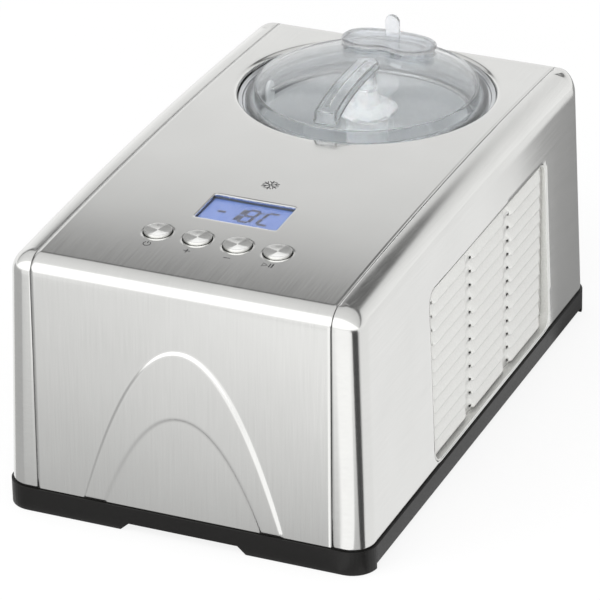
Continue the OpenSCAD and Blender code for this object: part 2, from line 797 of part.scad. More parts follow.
module gearbox_cover() color("#4a4c50") difference() {
    translate([0, 0, cover_z]) linear_extrude(case_t) case_plan(case_t);
    at_well() rod(bush_r, cover_z - over, cover_z + case_t + over);
    translate([0, idler_y, 0]) rod(idler_pin_r, cover_z - over, cover_z + case_t + over);
    translate([0, motor_y, 0]) rod(rotor_r + 4, cover_z - over, cover_z + case_t + over);
    for (p = case_screws) translate([p[0], p[1], 0]) rod(case_screw_r + 0.1, cover_z - over, cover_z + case_t + over);
}

module gearbox_screws() color("#8c8c8c") for (p = case_screws) translate([p[0], p[1], 0]) {
    rod(case_screw_r, floor_z - 1, cover_z + case_t);
    rod(3.6, floor_z - 2.4, floor_z);
}

module shaft_bushes() color("#b08d57") at_well() {
    tube(bush_r, shaft_r + run_gap, floor_top, low_gear_z);
    tube(bush_r, shaft_r + run_gap, cover_z, cover_z + case_t + 2);
}

module shaft_seal() color("#303030") at_well() {
    tube(bush_r, shaft_r + run_gap, can_floor - 6, bowl_floor + 6);
    tube(bush_r + 2.6, bush_r, can_floor - 2.5, can_floor);
}

module output_gear() color("#e9e6da") at_well() difference() {
    union() {
        gear(output_teeth, output_module, -90 + 180 / output_teeth, high_gear_z);
        rod(shaft_r + 6, low_gear_z + 0.3, cover_z - 0.5);
    }
    rod(shaft_r, floor_top, cover_z);
    for (i = [0:5]) rotate([0, 0, 60 * i]) translate([0.6 * output_r, 0, 0])
        rod(0.2 * output_r, floor_top, cover_z);
}

socket_z = bowl_tube_top + 2;
square_w = 1.33 * shaft_r;
square_h = 12;

module drive_shaft() color("#c4c6c8") at_well() {
    rod(shaft_r, floor_top + 0.5, socket_z);
    translate([-square_w / 2, -square_w / 2, socket_z]) cube([square_w, square_w, square_h]);
}

module idler_gear() color("#e9e6da") translate([0, idler_y, 0]) difference() {
    union() {
        gear(idler_large_teeth, motor_module, -90 + 180 / idler_large_teeth, low_gear_z);
        gear(idler_small_teeth, output_module, 90, high_gear_z);
        rod(idler_small_r - 1.2 * output_module, low_gear_z, high_gear_z + gear_t);
    }
    rod(idler_pin_r + run_gap, floor_top, cover_z);
}

module idler_pin() color("#c4c6c8") translate([0, idler_y, 0]) rod(idler_pin_r, floor_top, cover_z + case_t);

motor_z = cover_z + case_t;

module drive_motor() color("#9a9da0") translate([0, motor_y, 0]) difference() {
    union() {
        rod(motor_r, motor_z, motor_z + motor_h);
        rod(8, motor_z + motor_h, motor_z + motor_h + 4);
    }
    rod(rotor_r + 4, motor_z - over, motor_z + 4);
    rod(motor_r - 3, motor_z + 4, motor_z + motor_h - 4);
    rod(rotor_r + run_gap, motor_z + motor_h - 5, motor_z + motor_h + 2.5);
}

module motor_rotor() color("#b3884a") translate([0, motor_y, 0]) {
    gear(pinion_teeth, motor_module, 90, low_gear_z);
    rod(rotor_r, low_gear_z, motor_z + motor_h + 2);
    rod(motor_r - 5, motor_z + 12, motor_z + motor_h - 10);
}

// ---- cooling circuit -----------------------------------------------------

comp_bolt_r = 3;
comp_plate_z = floor_top + 9;
comp_plate_t = 2.5;
comp_z = comp_plate_z + comp_plate_t;
comp_feet = [for (a = [45, 165, 285]) [comp_x + (comp_r + 4) * cos(a), comp_y + (comp_r + 4) * sin(a)]];
dome_h = 22;

module at_compressor() {
    translate([comp_x, comp_y, 0]) children();
}

module compressor_shell() color("#1f2022") at_compressor() {
    rotate_extrude() polygon(concat(
        [[0, comp_z], [comp_r - dome_h, comp_z]],
        [for (a = [-75:15:0]) [comp_r - dome_h + dome_h * cos(a), comp_z + dome_h + dome_h * sin(a)]],
        [for (a = [0:15:75]) [comp_r - dome_h + dome_h * cos(a), comp_z + comp_h - dome_h + dome_h * sin(a)]],
        [[comp_r - dome_h, comp_z + comp_h], [0, comp_z + comp_h]]));
    tube(comp_r + 2.5, comp_r - 2, comp_z + 0.62 * comp_h, comp_z + 0.62 * comp_h + 2.5);
}

module compressor_foot_plate() color("#1f2022") difference() {
    translate([0, 0, comp_plate_z]) linear_extrude(comp_plate_t) union() {
        translate([comp_x, comp_y]) circle(comp_r - 14);
        for (p = comp_feet) hull() {
            translate(p) circle(9, $fn = 32);
            translate([comp_x, comp_y]) circle(9, $fn = 32);
        }
    }
    for (p = comp_feet) translate([p[0], p[1], 0]) rod(comp_bolt_r + 0.1, comp_plate_z - over, comp_z + over);
}

module compressor_grommets() color("#2b2b2b") for (p = comp_feet) translate([p[0], p[1], 0])
    tube(8, comp_bolt_r + 0.1, floor_top, comp_plate_z);

module compressor_bolts() color("#8c8c8c") for (p = comp_feet) translate([p[0], p[1], 0]) {
    rod(comp_bolt_r, floor_z - 1, comp_z);
    rod(5, floor_z - 3, floor_z);
    rod(5.2, comp_z, comp_z + 4);
}

terminal_x = comp_x - comp_r - 12;

module terminal_cover() color(black) translate([terminal_x, comp_y - 18, comp_z + 30]) difference() {
    cube([12 + 4, 36, 34]);
    translate([16 + comp_r - 4, 18, -over]) cylinder(r = comp_r + fit, h = 40);
}

condenser_x = vent_plate_x - vent_t - 27;
condenser_w = 22;
condenser_z0 = floor_top + 8;
condenser_y0 = -50;
tube_r = 3.2;
tube_step = condenser_h / tube_passes;
fin_t = 0.8;

function tube_z(i) = condenser_z0 + tube_step * (i + 0.5);

module condenser_fins() color("#c7cacd") difference() {
    union() {
        for (i = [0:fin_count - 1]) translate([condenser_x, condenser_y0 + i * fin_pitch, condenser_z0])
            cube([condenser_w, fin_t, condenser_h]);
        for (i = [0, fin_count - 1], dx = [0, condenser_w - 2])
            translate([condenser_x + dx, condenser_y0 + i * fin_pitch - 0.6, floor_top])
                cube([2, fin_t + 1.2, condenser_z0 - floor_top + 2]);
    }
    for (i = [0:tube_passes - 1]) translate([condenser_x + condenser_w / 2, condenser_y0 - 9, tube_z(i)])
        rotate([-90, 0, 0]) cylinder(r = tube_r + 0.1, h = fin_count * fin_pitch + 20, $fn = 32);
}

module condenser_tube() color("#b5734a") {
    x = condenser_x + condenser_w / 2;
    y0 = condenser_y0 - 14;
    y1 = condenser_y0 + (fin_count - 1) * fin_pitch + 15;
    pipe_run([for (i = [0:tube_passes - 1]) each (i % 2 == 0
        ? [[x, y0, tube_z(i)], [x, y1, tube_z(i)]] : [[x, y1, tube_z(i)], [x, y0, tube_z(i)]])], tube_r,
        tube_step / 2 - 1);
}

fan_x1 = condenser_x - 3;
fan_depth = 20;
fan_x0 = fan_x1 - fan_depth;
fan_yc = 0;
fan_hw = fan_r + 4;
fan_zc = floor_top + fan_hw + 14;
fan_hub_r = 14;

module fan_shroud() color("#4a4c50") translate([fan_x0, fan_yc, fan_zc]) difference() {
    union() {
        difference() {
            translate([0, -fan_hw, -fan_hw]) cube([fan_depth, 2 * fan_hw, 2 * fan_hw]);
            translate([-over, 0, 0]) rotate([0, 90, 0]) cylinder(r = fan_r + 1, h = fan_depth + 2 * over);
        }
        for (a = [0:90:270]) rotate([a, 0, 0]) translate([0, -1.5, 8]) cube([3, 3, fan_r - 6]);
        rotate([0, 90, 0]) cylinder(r = fan_hub_r + 3, h = 3);
        for (sy = [-1, 1]) translate([0, sy * (fan_hw - 8) - 6, floor_top - fan_zc])
            cube([fan_depth, 12, fan_zc - floor_top - fan_hw + over]);
    }
    translate([-over, 0, 0]) rotate([0, 90, 0]) cylinder(r = 6, h = 3 + 2 * over);
}

module fan_motor() color("#55585c") translate([0, fan_yc, fan_zc]) rotate([0, 90, 0]) difference() {
    union() {
        rod(fan_hub_r + 1, fan_x0 - 16, fan_x0);
        tube(5, 2 + run_gap, fan_x0, fan_x0 + 2);
    }
    rod(2 + run_gap, fan_x0 - 12, fan_x0 + over);
}

module fan_rotor() color("#8f9498") translate([0, fan_yc, fan_zc]) rotate([0, 90, 0]) {
    difference() {
        rod(fan_hub_r, fan_x0 + 3.6, fan_x0 + 16);
        rod(2, 0, fan_x1);
    }
    rod(2, fan_x0 - 11, fan_x0 + 15);
    for (i = [0:fan_blades - 1]) rotate([0, 0, 360 * i / fan_blades]) translate([fan_hub_r - 1, 0, fan_x0 + 9.5])
        rotate([32, 0, 0]) translate([0, -8, -0.8]) cube([fan_r - fan_hub_r - 2, 16, 1.6]);
}

drier_x = -20;
drier_y = -60;

drier_z = floor_top + 40;
drier_end = 8;
stub_r = 3;
stub_l = 8.5;
drier_top = drier_z + drier_l + drier_end + stub_l;

module filter_drier() color("#b5734a") translate([drier_x, drier_y, 0]) {
    rod(drier_r, drier_z, drier_z + drier_l);
    translate([0, 0, drier_z + drier_l]) cylinder(r1 = drier_r, r2 = stub_r, h = drier_end);
    translate([0, 0, drier_z - drier_end]) cylinder(r1 = stub_r, r2 = drier_r, h = drier_end);
    rod(stub_r, floor_top, drier_z - drier_end + over);
    rod(stub_r, drier_z + drier_l + drier_end - over, drier_top);
}

pipe_r = 3;

module refrigerant_pipes() color("#b5734a") {
    top = comp_z + comp_h;
    high = top + 9;
    x = condenser_x + condenser_w / 2;
    y = condenser_y0 - 14;
    z = tube_z(tube_passes - 1);
    pipe_run([[comp_x + 22, comp_y, top], [comp_x + 22, comp_y, high], [x, comp_y, high],
        [x, comp_y, z], [x, y - fit, z]], pipe_r, 8);
    pipe_run([[comp_x - 22, comp_y, top], [comp_x - 22, comp_y, high], [comp_x - 22, well_y - foam_r - 8, high],
        [comp_x - 22, well_y - foam_r - 8, 120]], pipe_r, 8);
    pipe_run([[drier_x, drier_y, drier_top + fit], [drier_x, drier_y, high], [drier_x, drier_y + 36, high],
        [drier_x, drier_y + 36, floor_top + 70]], pipe_r - 1, 8);
}

// ---- electrics -----------------------------------------------------------

power_x = power_side - body_w / 2;
power_z = floor_top + 12;
power_y = -power_l + 4;
clip_w = 6;
core_l = 38;
cap_x = power_x + 12;
cap_y = power_y - 54;

module power_board() color("#2f6b3c") {
    translate([power_x, power_y, power_z]) cube([board_t, power_l, power_h]);
    for (y = [power_y + clip_w, power_y + power_l - 2 * clip_w]) translate([power_x - 5, y, floor_top])
        cube([5, clip_w, power_h]);
}

module transformer() color("#6b4a2b") translate([power_x + board_t, power_y + 10, power_z + 18]) {
    cube([transformer_w, core_l, transformer_h - 12]);
    translate([0, 4, -6]) cube([transformer_w - 4, core_l - 8, transformer_h]);
}

module run_capacitor() color("#d9d9d4") translate([cap_x, cap_y, floor_top]) {
    rod(cap_r, 0, cap_h);
    rod(cap_r + 3, 0, 3);
}

// ---- bowl and paddle -----------------------------------------------------

pivot_z = bowl_rim_z + 9;
lug_t = 2.2;
lug_x = bowl_r + 1;
lug_r = 6;
bail_wire_r = 1.5;
bail_r = bowl_r - 0.7;

module mixing_bowl() color("#c9cbcd") at_well() {
    difference() {
        union() {
            rod(bowl_r + bowl_t, bowl_floor, bowl_rim_z);
            rod(bowl_r + 4.5, bowl_rim_z - 1.5, bowl_rim_z);
            for (sx = [-1, 1]) translate([sx * (lug_x + lug_t / 2), 0, pivot_z]) rotate([0, 90, 0]) {
                translate([0, 0, -lug_t / 2]) cylinder(r = lug_r, h = lug_t);
                translate([0, -lug_r, -lug_t / 2]) cube([pivot_z - bowl_rim_z + over, 2 * lug_r, lug_t]);
            }
        }
        rod(bowl_r, bowl_inside, bowl_rim_z + 0.1);
        rod(bowl_tube_r - 1.5, bowl_floor - over, bowl_inside + over);
        for (sx = [-1, 1]) translate([sx * (lug_x - over), 0, pivot_z]) rotate([0, sx * 90, 0])
            cylinder(r = bail_wire_r + 0.08, h = lug_t + 2 * over);
    }
    tube(bowl_tube_r, bowl_tube_r - 1.5, bowl_floor, bowl_tube_top);
    tube(bowl_tube_r, shaft_r + 0.4, bowl_tube_top - 2, bowl_tube_top);
}

// The wire bail, lying back so that its middle rests on the rim of the bowl
bail_drop = asin((pivot_z - bowl_rim_z - bail_wire_r - 0.1) / bail_r);

module bowl_bail() color("#b8babd") translate([0, well_y, pivot_z]) rotate([-bail_drop, 0, 0]) {
    rotate_extrude(angle = 180) translate([bail_r, 0]) circle(bail_wire_r, $fn = 24);
    for (sx = [-1, 1]) translate([sx * bail_r, 0, 0]) {
        sphere(bail_wire_r, $fn = 24);
        rotate([0, sx * 90, 0]) cylinder(r = bail_wire_r, h = lug_x + lug_t + 0.6 - bail_r);
    }
}

blade_r = bowl_r - blade_gap;
blade_z = bowl_inside + 0.9;
knob_z = paddle_flange_z + knob_h;
pin_r = 4;
pin_h = 5;

// One blade of the paddle as (r, z) points: a foot, an upright at the wall and a brace
module blade(top) {
    rotate([90, 0, 0]) translate([0, 0, -blade_t / 2]) linear_extrude(blade_t) difference() {
        polygon([[column_r - 1, blade_z], [blade_r, blade_z], [blade_r, blade_z + top - 6],
            [blade_r - 6, blade_z + top], [blade_r - 11, blade_z + top - 8], [blade_r - 18, blade_z + 0.55 * top],
            [column_r - 1, blade_z + 0.75 * top]]);
        polygon([[column_r + 5, blade_z + 9], [blade_r - 16, blade_z + 9], [blade_r - 24, blade_z + 0.42 * top],
            [column_r + 5, blade_z + 0.55 * top]]);
    }
}

module paddle() color("#f2f3f5") at_well() {
    difference() {
        union() {
            rod(column_r, blade_z, paddle_flange_z);
            rod(column_r + 1.2, blade_z + 86, blade_z + 89);
            translate([0, 0, paddle_flange_z - 5]) rotate_extrude() polygon([[0, 0], [paddle_flange_r - 2, 0],
                [paddle_flange_r, 1.5], [paddle_flange_r, 3], [paddle_flange_r - 3, 5.4], [paddle_flange_r - 8, 6.8],
                [9.6, 7.3], [0, 7.3]]);
            translate([0, 0, paddle_flange_z]) cylinder(r1 = 9.6, r2 = 7.6, h = knob_h);
            rod(pin_r, knob_z - over, knob_z + pin_h);
            rotate([0, 0, blade_turn]) {
                blade(blade_h);
                rotate([0, 0, 180]) blade(0.72 * blade_h);
            }
        }
        rod(bowl_tube_r + 0.6, blade_z - over, socket_z + 0.3);
        translate([-square_w / 2 - 0.15, -square_w / 2 - 0.15, socket_z - over])
            cube([square_w + 0.3, square_w + 0.3, square_h + over + 0.4]);
    }
}

// ---- lid -----------------------------------------------------------------

lid_flange_t = 2.6;
wall_r = lid_r - 6.4;
wall_top = seat_z + lid_flange_t + lid_wall_h;
dome_r = wall_r - 2.4;
dome_z0 = wall_top + 1.8;
dome_top = dome_z0 + dome_rise;
lid_skirt_r = throat_r - 0.8;
lid_skirt_t = 1.7;
port_wall = 1.8;
port_dent = 5;
port_depth = 13;
port_top = dome_top + port_rise;

function dome_z(r) = dome_z0 + dome_rise * (1 - pow(r / dome_r, 3.4));
function dome_curve(drop, n) = [for (i = [0:n]) let (r = dome_r * (1 - i / n)) [r, dome_z(r) - drop]];

// Half round, half square outline of the filling opening, with a dent around the middle of the lid
function port_outline(g) = [for (i = [0:71]) let (t = 5 * i, c = cos(t), s = sin(t), p = 2 / 2.6,
        a = port_a + g, b = (s < 0 ? port_front : port_back) + g,
        x = a * sign(c) * pow(abs(c), p), y = b * sign(s) * pow(abs(s), p))
    [x, port_y + y + (s < 0 ? port_dent * exp(-x * x / 130) : 0)]];

module port_block(g, z0, z1) {
    translate([0, 0, z0]) linear_extrude(z1 - z0) polygon(port_outline(g));
}

module lid_dome() color("#dfe6ea", 0.35) at_well() difference() {
    union() {
        rotate_extrude() polygon(concat(
            [[lid_r, seat_z + 0.1], [lid_r, seat_z + lid_flange_t], [wall_r, seat_z + lid_flange_t],
                [wall_r, wall_top], [wall_r - 0.7, wall_top + 1.2]],
            dome_curve(0, 10),
            [for (i = [10:-1:0]) let (p = dome_curve(lid_t, 10)[i]) p],
            [[wall_r - lid_t, wall_top - 0.6], [wall_r - lid_t, seat_z + lid_flange_t],
                [lid_skirt_r - lid_skirt_t, seat_z + lid_flange_t], [lid_skirt_r - lid_skirt_t, seat_z - lid_skirt_h],
                [lid_skirt_r, seat_z - lid_skirt_h], [lid_skirt_r, seat_z + 0.1]]));
        port_block(0, port_top - port_depth, port_top);
        tube(pin_r + 3, pin_r + 0.4, knob_z + 0.5, dome_top - lid_t / 2);
        translate([-3, -lid_r - 0.6, seat_z + 0.1]) cube([6, 3, lid_flange_t]);
    }
    port_block(-port_wall, wall_top - 10, port_top + over);
}

handle_back = 9.5;
handle_t = 1.8;
handle_front = -(dome_r - 0.5);

// Side view of the handle, shrunk by g, as (y, z) points from the front end to the hub
module handle_side(g) {
    polygon([[handle_front + g, dome_z0 - 4], [handle_front + g + 0.6, dome_z0 + handle_front_h - g],
        [handle_front * 0.75, dome_z0 + handle_front_h + 5 - g], [handle_front * 0.45, dome_top + handle_hub_h + 0.4 - g],
        [handle_front * 0.2, dome_top + handle_hub_h + 0.8 - g], [0, dome_top + handle_hub_h - g],
        [0, dome_z0 - 4]]);
}

module lid_handle() color("#e6ecef", 0.4) at_well() difference() {
    union() {
        across(handle_w / 2) handle_side(0);
        rod(handle_back, dome_z0 - 4, dome_top + handle_hub_h);
    }
    across(handle_w / 2 - handle_t) handle_side(handle_t);
    rod(handle_back - handle_t, 0, dome_top + handle_hub_h - handle_t);
    rotate_extrude() polygon(concat([[0, 0], [dome_r + 10, 0], [dome_r + 10, dome_z0]], dome_curve(-0.15, 10)));
}

tab_t = 2.4;
cap_t = 2.2;

module port_cap() color("#e9eef0", 0.5) at_well() {
    port_block(1.2, port_top + 0.1, port_top + cap_t);
    difference() {
        port_block(-port_wall - 0.35, port_top - 5, port_top + 0.6);
        port_block(-port_wall - 1.9, port_top - 6, port_top + 0.1);
    }
    translate([0, port_y + 8, 0]) rotate([90, 0, 0]) translate([0, 0, -tab_t / 2]) {
        translate([-tab_w / 2, port_top + cap_t - 0.5, 0]) cube([tab_w, tab_h - tab_w / 2 + 0.5, tab_t]);
        translate([0, port_top + cap_t + tab_h - tab_w / 2, 0]) cylinder(r = tab_w / 2, h = tab_t);
    }
}

base_tray();
rubber_feet();
front_top_panel();
side_panel_right();
side_panel_left();
rear_panel();
vent_grille_right();
vent_grille_left();
rear_screws();
cord_inlet();
well_collar();
evaporator_can();
evaporator_coil();
foam_shell();
control_frame();
display_window();
display_module();
control_board();
tact_switches();
button_power();
button_time_up();
button_time_down();
button_start_stop();
gearbox_case();
gearbox_cover();
gearbox_screws();
shaft_bushes();
shaft_seal();
output_gear();
drive_shaft();
idler_gear();
idler_pin();
drive_motor();
motor_rotor();
compressor_shell();
compressor_foot_plate();
compressor_grommets();
compressor_bolts();
terminal_cover();
filter_drier();
refrigerant_pipes();
condenser_fins();
condenser_tube();
fan_shroud();
fan_motor();
fan_rotor();
power_board();
transformer();
run_capacitor();
mixing_bowl();
bowl_bail();
paddle();
lid_dome();
lid_handle();
port_cap();
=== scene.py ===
# %% [markdown]
# # Compressor ice cream maker
#
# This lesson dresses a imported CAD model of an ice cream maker: a long box clad in brushed steel on a
# black base, with spun buttons, a blue display, louvred sides and a bowl under a clear lid. The CAD
# gives every size and joint. The cells below work out smooth surfaces around it with numpy, give them
# real finishes, and light them as a small studio would.

import json
import math
from contextlib import contextmanager

import bmesh
import bpy
import numpy as np
from mathutils import Matrix, Vector

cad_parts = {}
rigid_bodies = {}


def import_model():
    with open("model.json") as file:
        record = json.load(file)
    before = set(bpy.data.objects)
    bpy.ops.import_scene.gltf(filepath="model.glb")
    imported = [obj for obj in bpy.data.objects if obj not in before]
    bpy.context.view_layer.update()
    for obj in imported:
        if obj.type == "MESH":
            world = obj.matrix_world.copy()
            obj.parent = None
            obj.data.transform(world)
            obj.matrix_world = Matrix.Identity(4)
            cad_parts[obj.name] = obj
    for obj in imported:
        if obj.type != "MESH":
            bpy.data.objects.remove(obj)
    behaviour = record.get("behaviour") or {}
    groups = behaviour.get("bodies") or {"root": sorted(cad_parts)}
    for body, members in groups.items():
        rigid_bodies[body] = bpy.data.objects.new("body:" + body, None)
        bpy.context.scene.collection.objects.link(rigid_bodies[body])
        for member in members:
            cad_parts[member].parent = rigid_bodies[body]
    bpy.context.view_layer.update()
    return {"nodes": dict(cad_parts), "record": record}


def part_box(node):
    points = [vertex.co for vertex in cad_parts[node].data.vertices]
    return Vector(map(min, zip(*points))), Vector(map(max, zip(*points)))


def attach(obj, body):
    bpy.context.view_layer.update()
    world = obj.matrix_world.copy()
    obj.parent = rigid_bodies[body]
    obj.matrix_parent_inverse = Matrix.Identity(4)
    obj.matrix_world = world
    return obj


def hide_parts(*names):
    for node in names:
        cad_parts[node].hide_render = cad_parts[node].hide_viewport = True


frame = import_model()
NODES = frame["nodes"]
MM = 0.001
print("CAD nodes:", len(NODES))


def add_object(name, data):
    """A new object in the scene."""
    obj = bpy.data.objects.new(name, data)
    bpy.context.scene.collection.objects.link(obj)
    return obj


# %% [markdown]
# ## Camera
#
# A camera far away with a long lens keeps the box's edges nearly parallel. It is placed on a sphere
# around a point low in the machine: a turn to the right, a height above the table, and a slight roll.

# %% Camera
AZIMUTH, ELEVATION, ROLL = (math.radians(angle) for angle in (23.898, 27.454, -1.158))
DISTANCE = 3.0454
TARGET = Vector((-0.00482, 0.0, 0.07924))
SENSOR = 36.0
FOCAL_SHARE = 7.2455  # focal length over the width of the picture

back = Vector((math.sin(AZIMUTH) * math.cos(ELEVATION), -math.cos(AZIMUTH) * math.cos(ELEVATION),
               math.sin(ELEVATION)))
level = (-back).cross(Vector((0, 0, 1))).normalized()
upright = level.cross(-back)
right = level * math.cos(ROLL) + upright * math.sin(ROLL)
up = -level * math.sin(ROLL) + upright * math.cos(ROLL)

camera_data = bpy.data.cameras.new("camera")
camera_data.sensor_width = SENSOR
camera_data.lens = SENSOR * FOCAL_SHARE
camera_data.clip_start, camera_data.clip_end = 0.1, 50.0
camera = add_object("camera", camera_data)
turned_axes = Matrix((right, up, back)).transposed().to_4x4()
camera.matrix_world = Matrix.Translation(TARGET + DISTANCE * back) @ turned_axes
bpy.context.scene.camera = camera
bpy.context.scene.view_settings.view_transform = "Standard"
print("lens", round(camera_data.lens, 1), "mm")

# %% [markdown]
# ## Sizes
#
# The body is a box whose walls lean in a little and whose top is crowned. Its sizes are those of the
# CAD, in millimetres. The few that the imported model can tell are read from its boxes.

# %% Sizes


def node_box(name):
    """Lowest and highest corner of a CAD node, in millimetres."""
    low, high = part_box(name)
    return np.array(low) / MM, np.array(high) / MM


base_low, base_high = node_box("base_tray")
BODY_W, BODY_D = (base_high - base_low)[:2]
BASE_H, BODY_H, CROWN = 18.0, 195.5, 6.0
SIDE_LEAN, FRONT_LEAN, REAR_LEAN = 5.5, 5.0, 3.0
FRONT_BEND, REAR_BEND, SHOULDER, CORNER = 12.0, 4.0, 16.0, 16.5
SHEET, SHEET_WALL, LIP = 1.0, 0.6, 1.5
SEAM_X, SEAM_GAP = BODY_W / 2 - 26.0, 0.5
WELL_Y, WELL_R = BODY_D / 2 - 99.0, 92.0
LEDGE_Z = 189.2
SEAT_Z = LEDGE_Z - 2.6
THROAT_R = 79.4
CROWN_R = (BODY_D**2 / 4 + CROWN**2) / (2 * CROWN)
print("body", round(BODY_W, 1), "x", round(BODY_D, 1), "mm, crown radius", round(CROWN_R))

# %% [markdown]
# ## Small helpers
#
# Every new surface starts as a grid of points, row by row, in millimetres. One helper turns a grid
# into a mesh in metres, one welds doubled points and turns faces outwards, and one rounds the corners
# of a profile, because no moulded or pressed edge is truly sharp. Rings of points that are joined one
# to the next make the turned and swept parts.

# %% Mesh helpers
WELD_GAP = 0.002 * MM
CORNER_STEPS = 5
ROUND = np.radians([15, 30, 45, 60, 75, 90])  # the steps of a large rounded edge


@contextmanager
def opened(obj):
    """Lends an object's mesh for editing and writes it back."""
    data = bmesh.new()
    data.from_mesh(obj.data)
    yield data
    data.to_mesh(obj.data)
    data.free()


def make_object(name, points, faces):
    """A mesh object from points in millimetres and faces given as rows of point numbers."""
    mesh = bpy.data.meshes.new(name)
    mesh.from_pydata((np.asarray(points, float) * MM).tolist(), [], [list(map(int, f)) for f in faces])
    mesh.update()
    return add_object(name, mesh)


def grid_faces(rows, columns, wrap_rows=False, wrap_columns=False):
    """Four-sided faces between neighbouring points of a grid numbered row by row."""
    number = np.arange(rows * columns).reshape(rows, columns)
    if wrap_rows:
        number = np.vstack([number, number[:1]])
    if wrap_columns:
        number = np.hstack([number, number[:, :1]])
    corners = [number[:-1, :-1], number[:-1, 1:], number[1:, 1:], number[1:, :-1]]
    return np.stack(corners, -1).reshape(-1, 4)


def unit(vectors):
    """Vectors shortened to a length of one."""
    return vectors / np.linalg.norm(vectors, axis=-1, keepdims=True)


def weld(obj, outwards=True):
    """Merges doubled points, drops faces without area and turns the rest outwards."""
    with opened(obj) as data:
        bmesh.ops.remove_doubles(data, verts=data.verts, dist=WELD_GAP)
        bmesh.ops.dissolve_degenerate(data, edges=data.edges, dist=WELD_GAP)
        if outwards:
            bmesh.ops.recalc_face_normals(data, faces=data.faces)
    return obj


def shade(obj, angle=35.0):
    """Smooth shading, with edges sharper than the angle kept crisp."""
    obj.data.shade_smooth()
    obj.data.set_sharp_from_angle(angle=math.radians(angle))
    return obj


def give_wall(obj, thickness):
    """Solidify: a real wall in millimetres, on the inside of the surface."""
    wall = obj.modifiers.new("wall", "SOLIDIFY")
    wall.thickness = thickness * MM
    wall.offset = -1.0
    wall.use_even_offset = False
    return obj


def walled(name, points, faces, angle, wall, outwards=False):
    """A smooth sheet with a real wall. outwards=False keeps the way its faces are given."""
    return give_wall(shade(weld(make_object(name, points, faces), outwards), angle), wall)


def ring_object(name, rings, closed=False, angle=35.0):
    """A smooth mesh from rings of points, each joined to the next; closed joins last to first."""
    rings = np.asarray(rings)
    faces = grid_faces(*rings.shape[:2], closed, True)
    return shade(weld(make_object(name, rings.reshape(-1, 3), faces)), angle)


def arc(radius, start=0, end=180, steps=25, centre=(0, 0)):
    """Points of an arc between two bearings in degrees, by default a half circle from +x to -x."""
    turn = np.radians(np.linspace(start, end, steps))
    return centre + radius * np.stack([np.cos(turn), np.sin(turn)], -1)


def rounded(points, radius, closed=True):
    """A path whose corners are replaced by short curves.

    Each corner gives way to a quadratic curve that leaves and meets its two edges at the radius, or
    at 45% of an edge that is shorter."""
    p = np.asarray(points, float)
    before, after = np.roll(p, 1, 0) - p, np.roll(p, -1, 0) - p
    length_a, length_b = np.linalg.norm(before, axis=1), np.linalg.norm(after, axis=1)
    cut = np.minimum(np.asarray(radius, float), 0.45 * np.minimum(length_a, length_b))
    start = p + before * (cut / length_a)[:, None]
    end = p + after * (cut / length_b)[:, None]
    t = np.linspace(0, 1, CORNER_STEPS)[None, :, None]
    curve = (1 - t)**2 * start[:, None] + 2 * t * (1 - t) * p[:, None] + t**2 * end[:, None]
    if closed:
        return curve.reshape(-1, p.shape[1])
    return np.vstack([p[:1], curve[1:-1].reshape(-1, p.shape[1]), p[-1:]])


def turn_profile(profile, turns, centre=(0, 0)):
    """A grid of points: a profile of (radius, height) turned around an upright axis."""
    profile = np.asarray(profile, float)
    angle = np.linspace(0, 2 * np.pi, turns, endpoint=False)
    x, y = centre[0] + profile[:, :1] * np.cos(angle), centre[1] + profile[:, :1] * np.sin(angle)
    return np.stack([x, y, np.broadcast_to(profile[:, 1:2], x.shape)], -1)


def revolve(name, profile, centre, turns=144, closed=True):
    """Turns a profile around an upright axis. A closed profile makes a ring."""
    return ring_object(name, turn_profile(profile, turns, centre), closed)


def sweep_outline(name, outline, centre, rings, closed=False, pose=lambda points: points):
    """Copies of one outline, given as rings of (offset, height).

    Each is grown from the centre by its offset and set at its height. An offset of None draws the ring
    together on the centre. pose turns the (x, y, height) points into the machine's frame."""
    centre = np.asarray(centre, float)
    away = np.asarray(outline, float) - centre
    reach = np.linalg.norm(away, axis=1, keepdims=True)
    grown = [np.hstack([centre + away * (0 if grow is None else (1 + grow / reach)),
                        np.full((len(away), 1), z)]) for grow, z in rings]
    return ring_object(name, [pose(ring) for ring in grown], closed)


def slab(low, high, edge):
    """Rings for sweep_outline: a closed slab from low to high with a small bevel around its top."""
    return [(None, low), (0, low), (0, high - edge), (-edge, high), (None, high)]


def tube_along(name, path, radius, sides=20):
    """A round tube around a path: at each point a circle square to the path's direction."""
    path = np.asarray(path, float)
    along = unit(np.gradient(path, axis=0))
    side = unit(np.cross(along, (0.0, 0.0, 1.0)))
    over = np.cross(side, along)
    angle = np.linspace(0, 2 * np.pi, sides, endpoint=False)[None, :, None]
    ring = side[:, None] * np.cos(angle) + over[:, None] * np.sin(angle)
    return ring_object(name, np.vstack([path[:1].repeat(sides, 0)[None], path[:, None] + radius * ring,
                                        path[-1:].repeat(sides, 0)[None]]))


def from_cad(name, node, edge=0.5, angle=32.0):
    """A welded copy of a CAD node with its flat faces joined and its edges rounded."""
    obj = add_object(name, NODES[node].data.copy())
    obj.data.materials.clear()
    with opened(obj) as data:
        bmesh.ops.remove_doubles(data, verts=data.verts, dist=MM * MM)
        bmesh.ops.dissolve_limit(data, angle_limit=math.radians(0.5), verts=data.verts,
                                 edges=data.edges)
    if obj.data.has_custom_normals:
        obj.data.normals_split_custom_set([(0, 0, 0)] * len(obj.data.loops))
    shade(obj, angle)
    bevel = obj.modifiers.new("edge", "BEVEL")
    bevel.width = edge * MM
    bevel.segments = 2
    bevel.limit_method = "ANGLE"
    bevel.angle_limit = math.radians(angle)
    bevel.harden_normals = True
    return obj


def place(obj, body, node, slot, material=None):
    """Sets a piece's finish (its slot's, or the given material), parents it and hides its CAD node."""
    obj.data.materials.clear()
    obj.data.materials.append(material or FINISH[slot])
    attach(obj, body)
    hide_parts(node)
    return obj


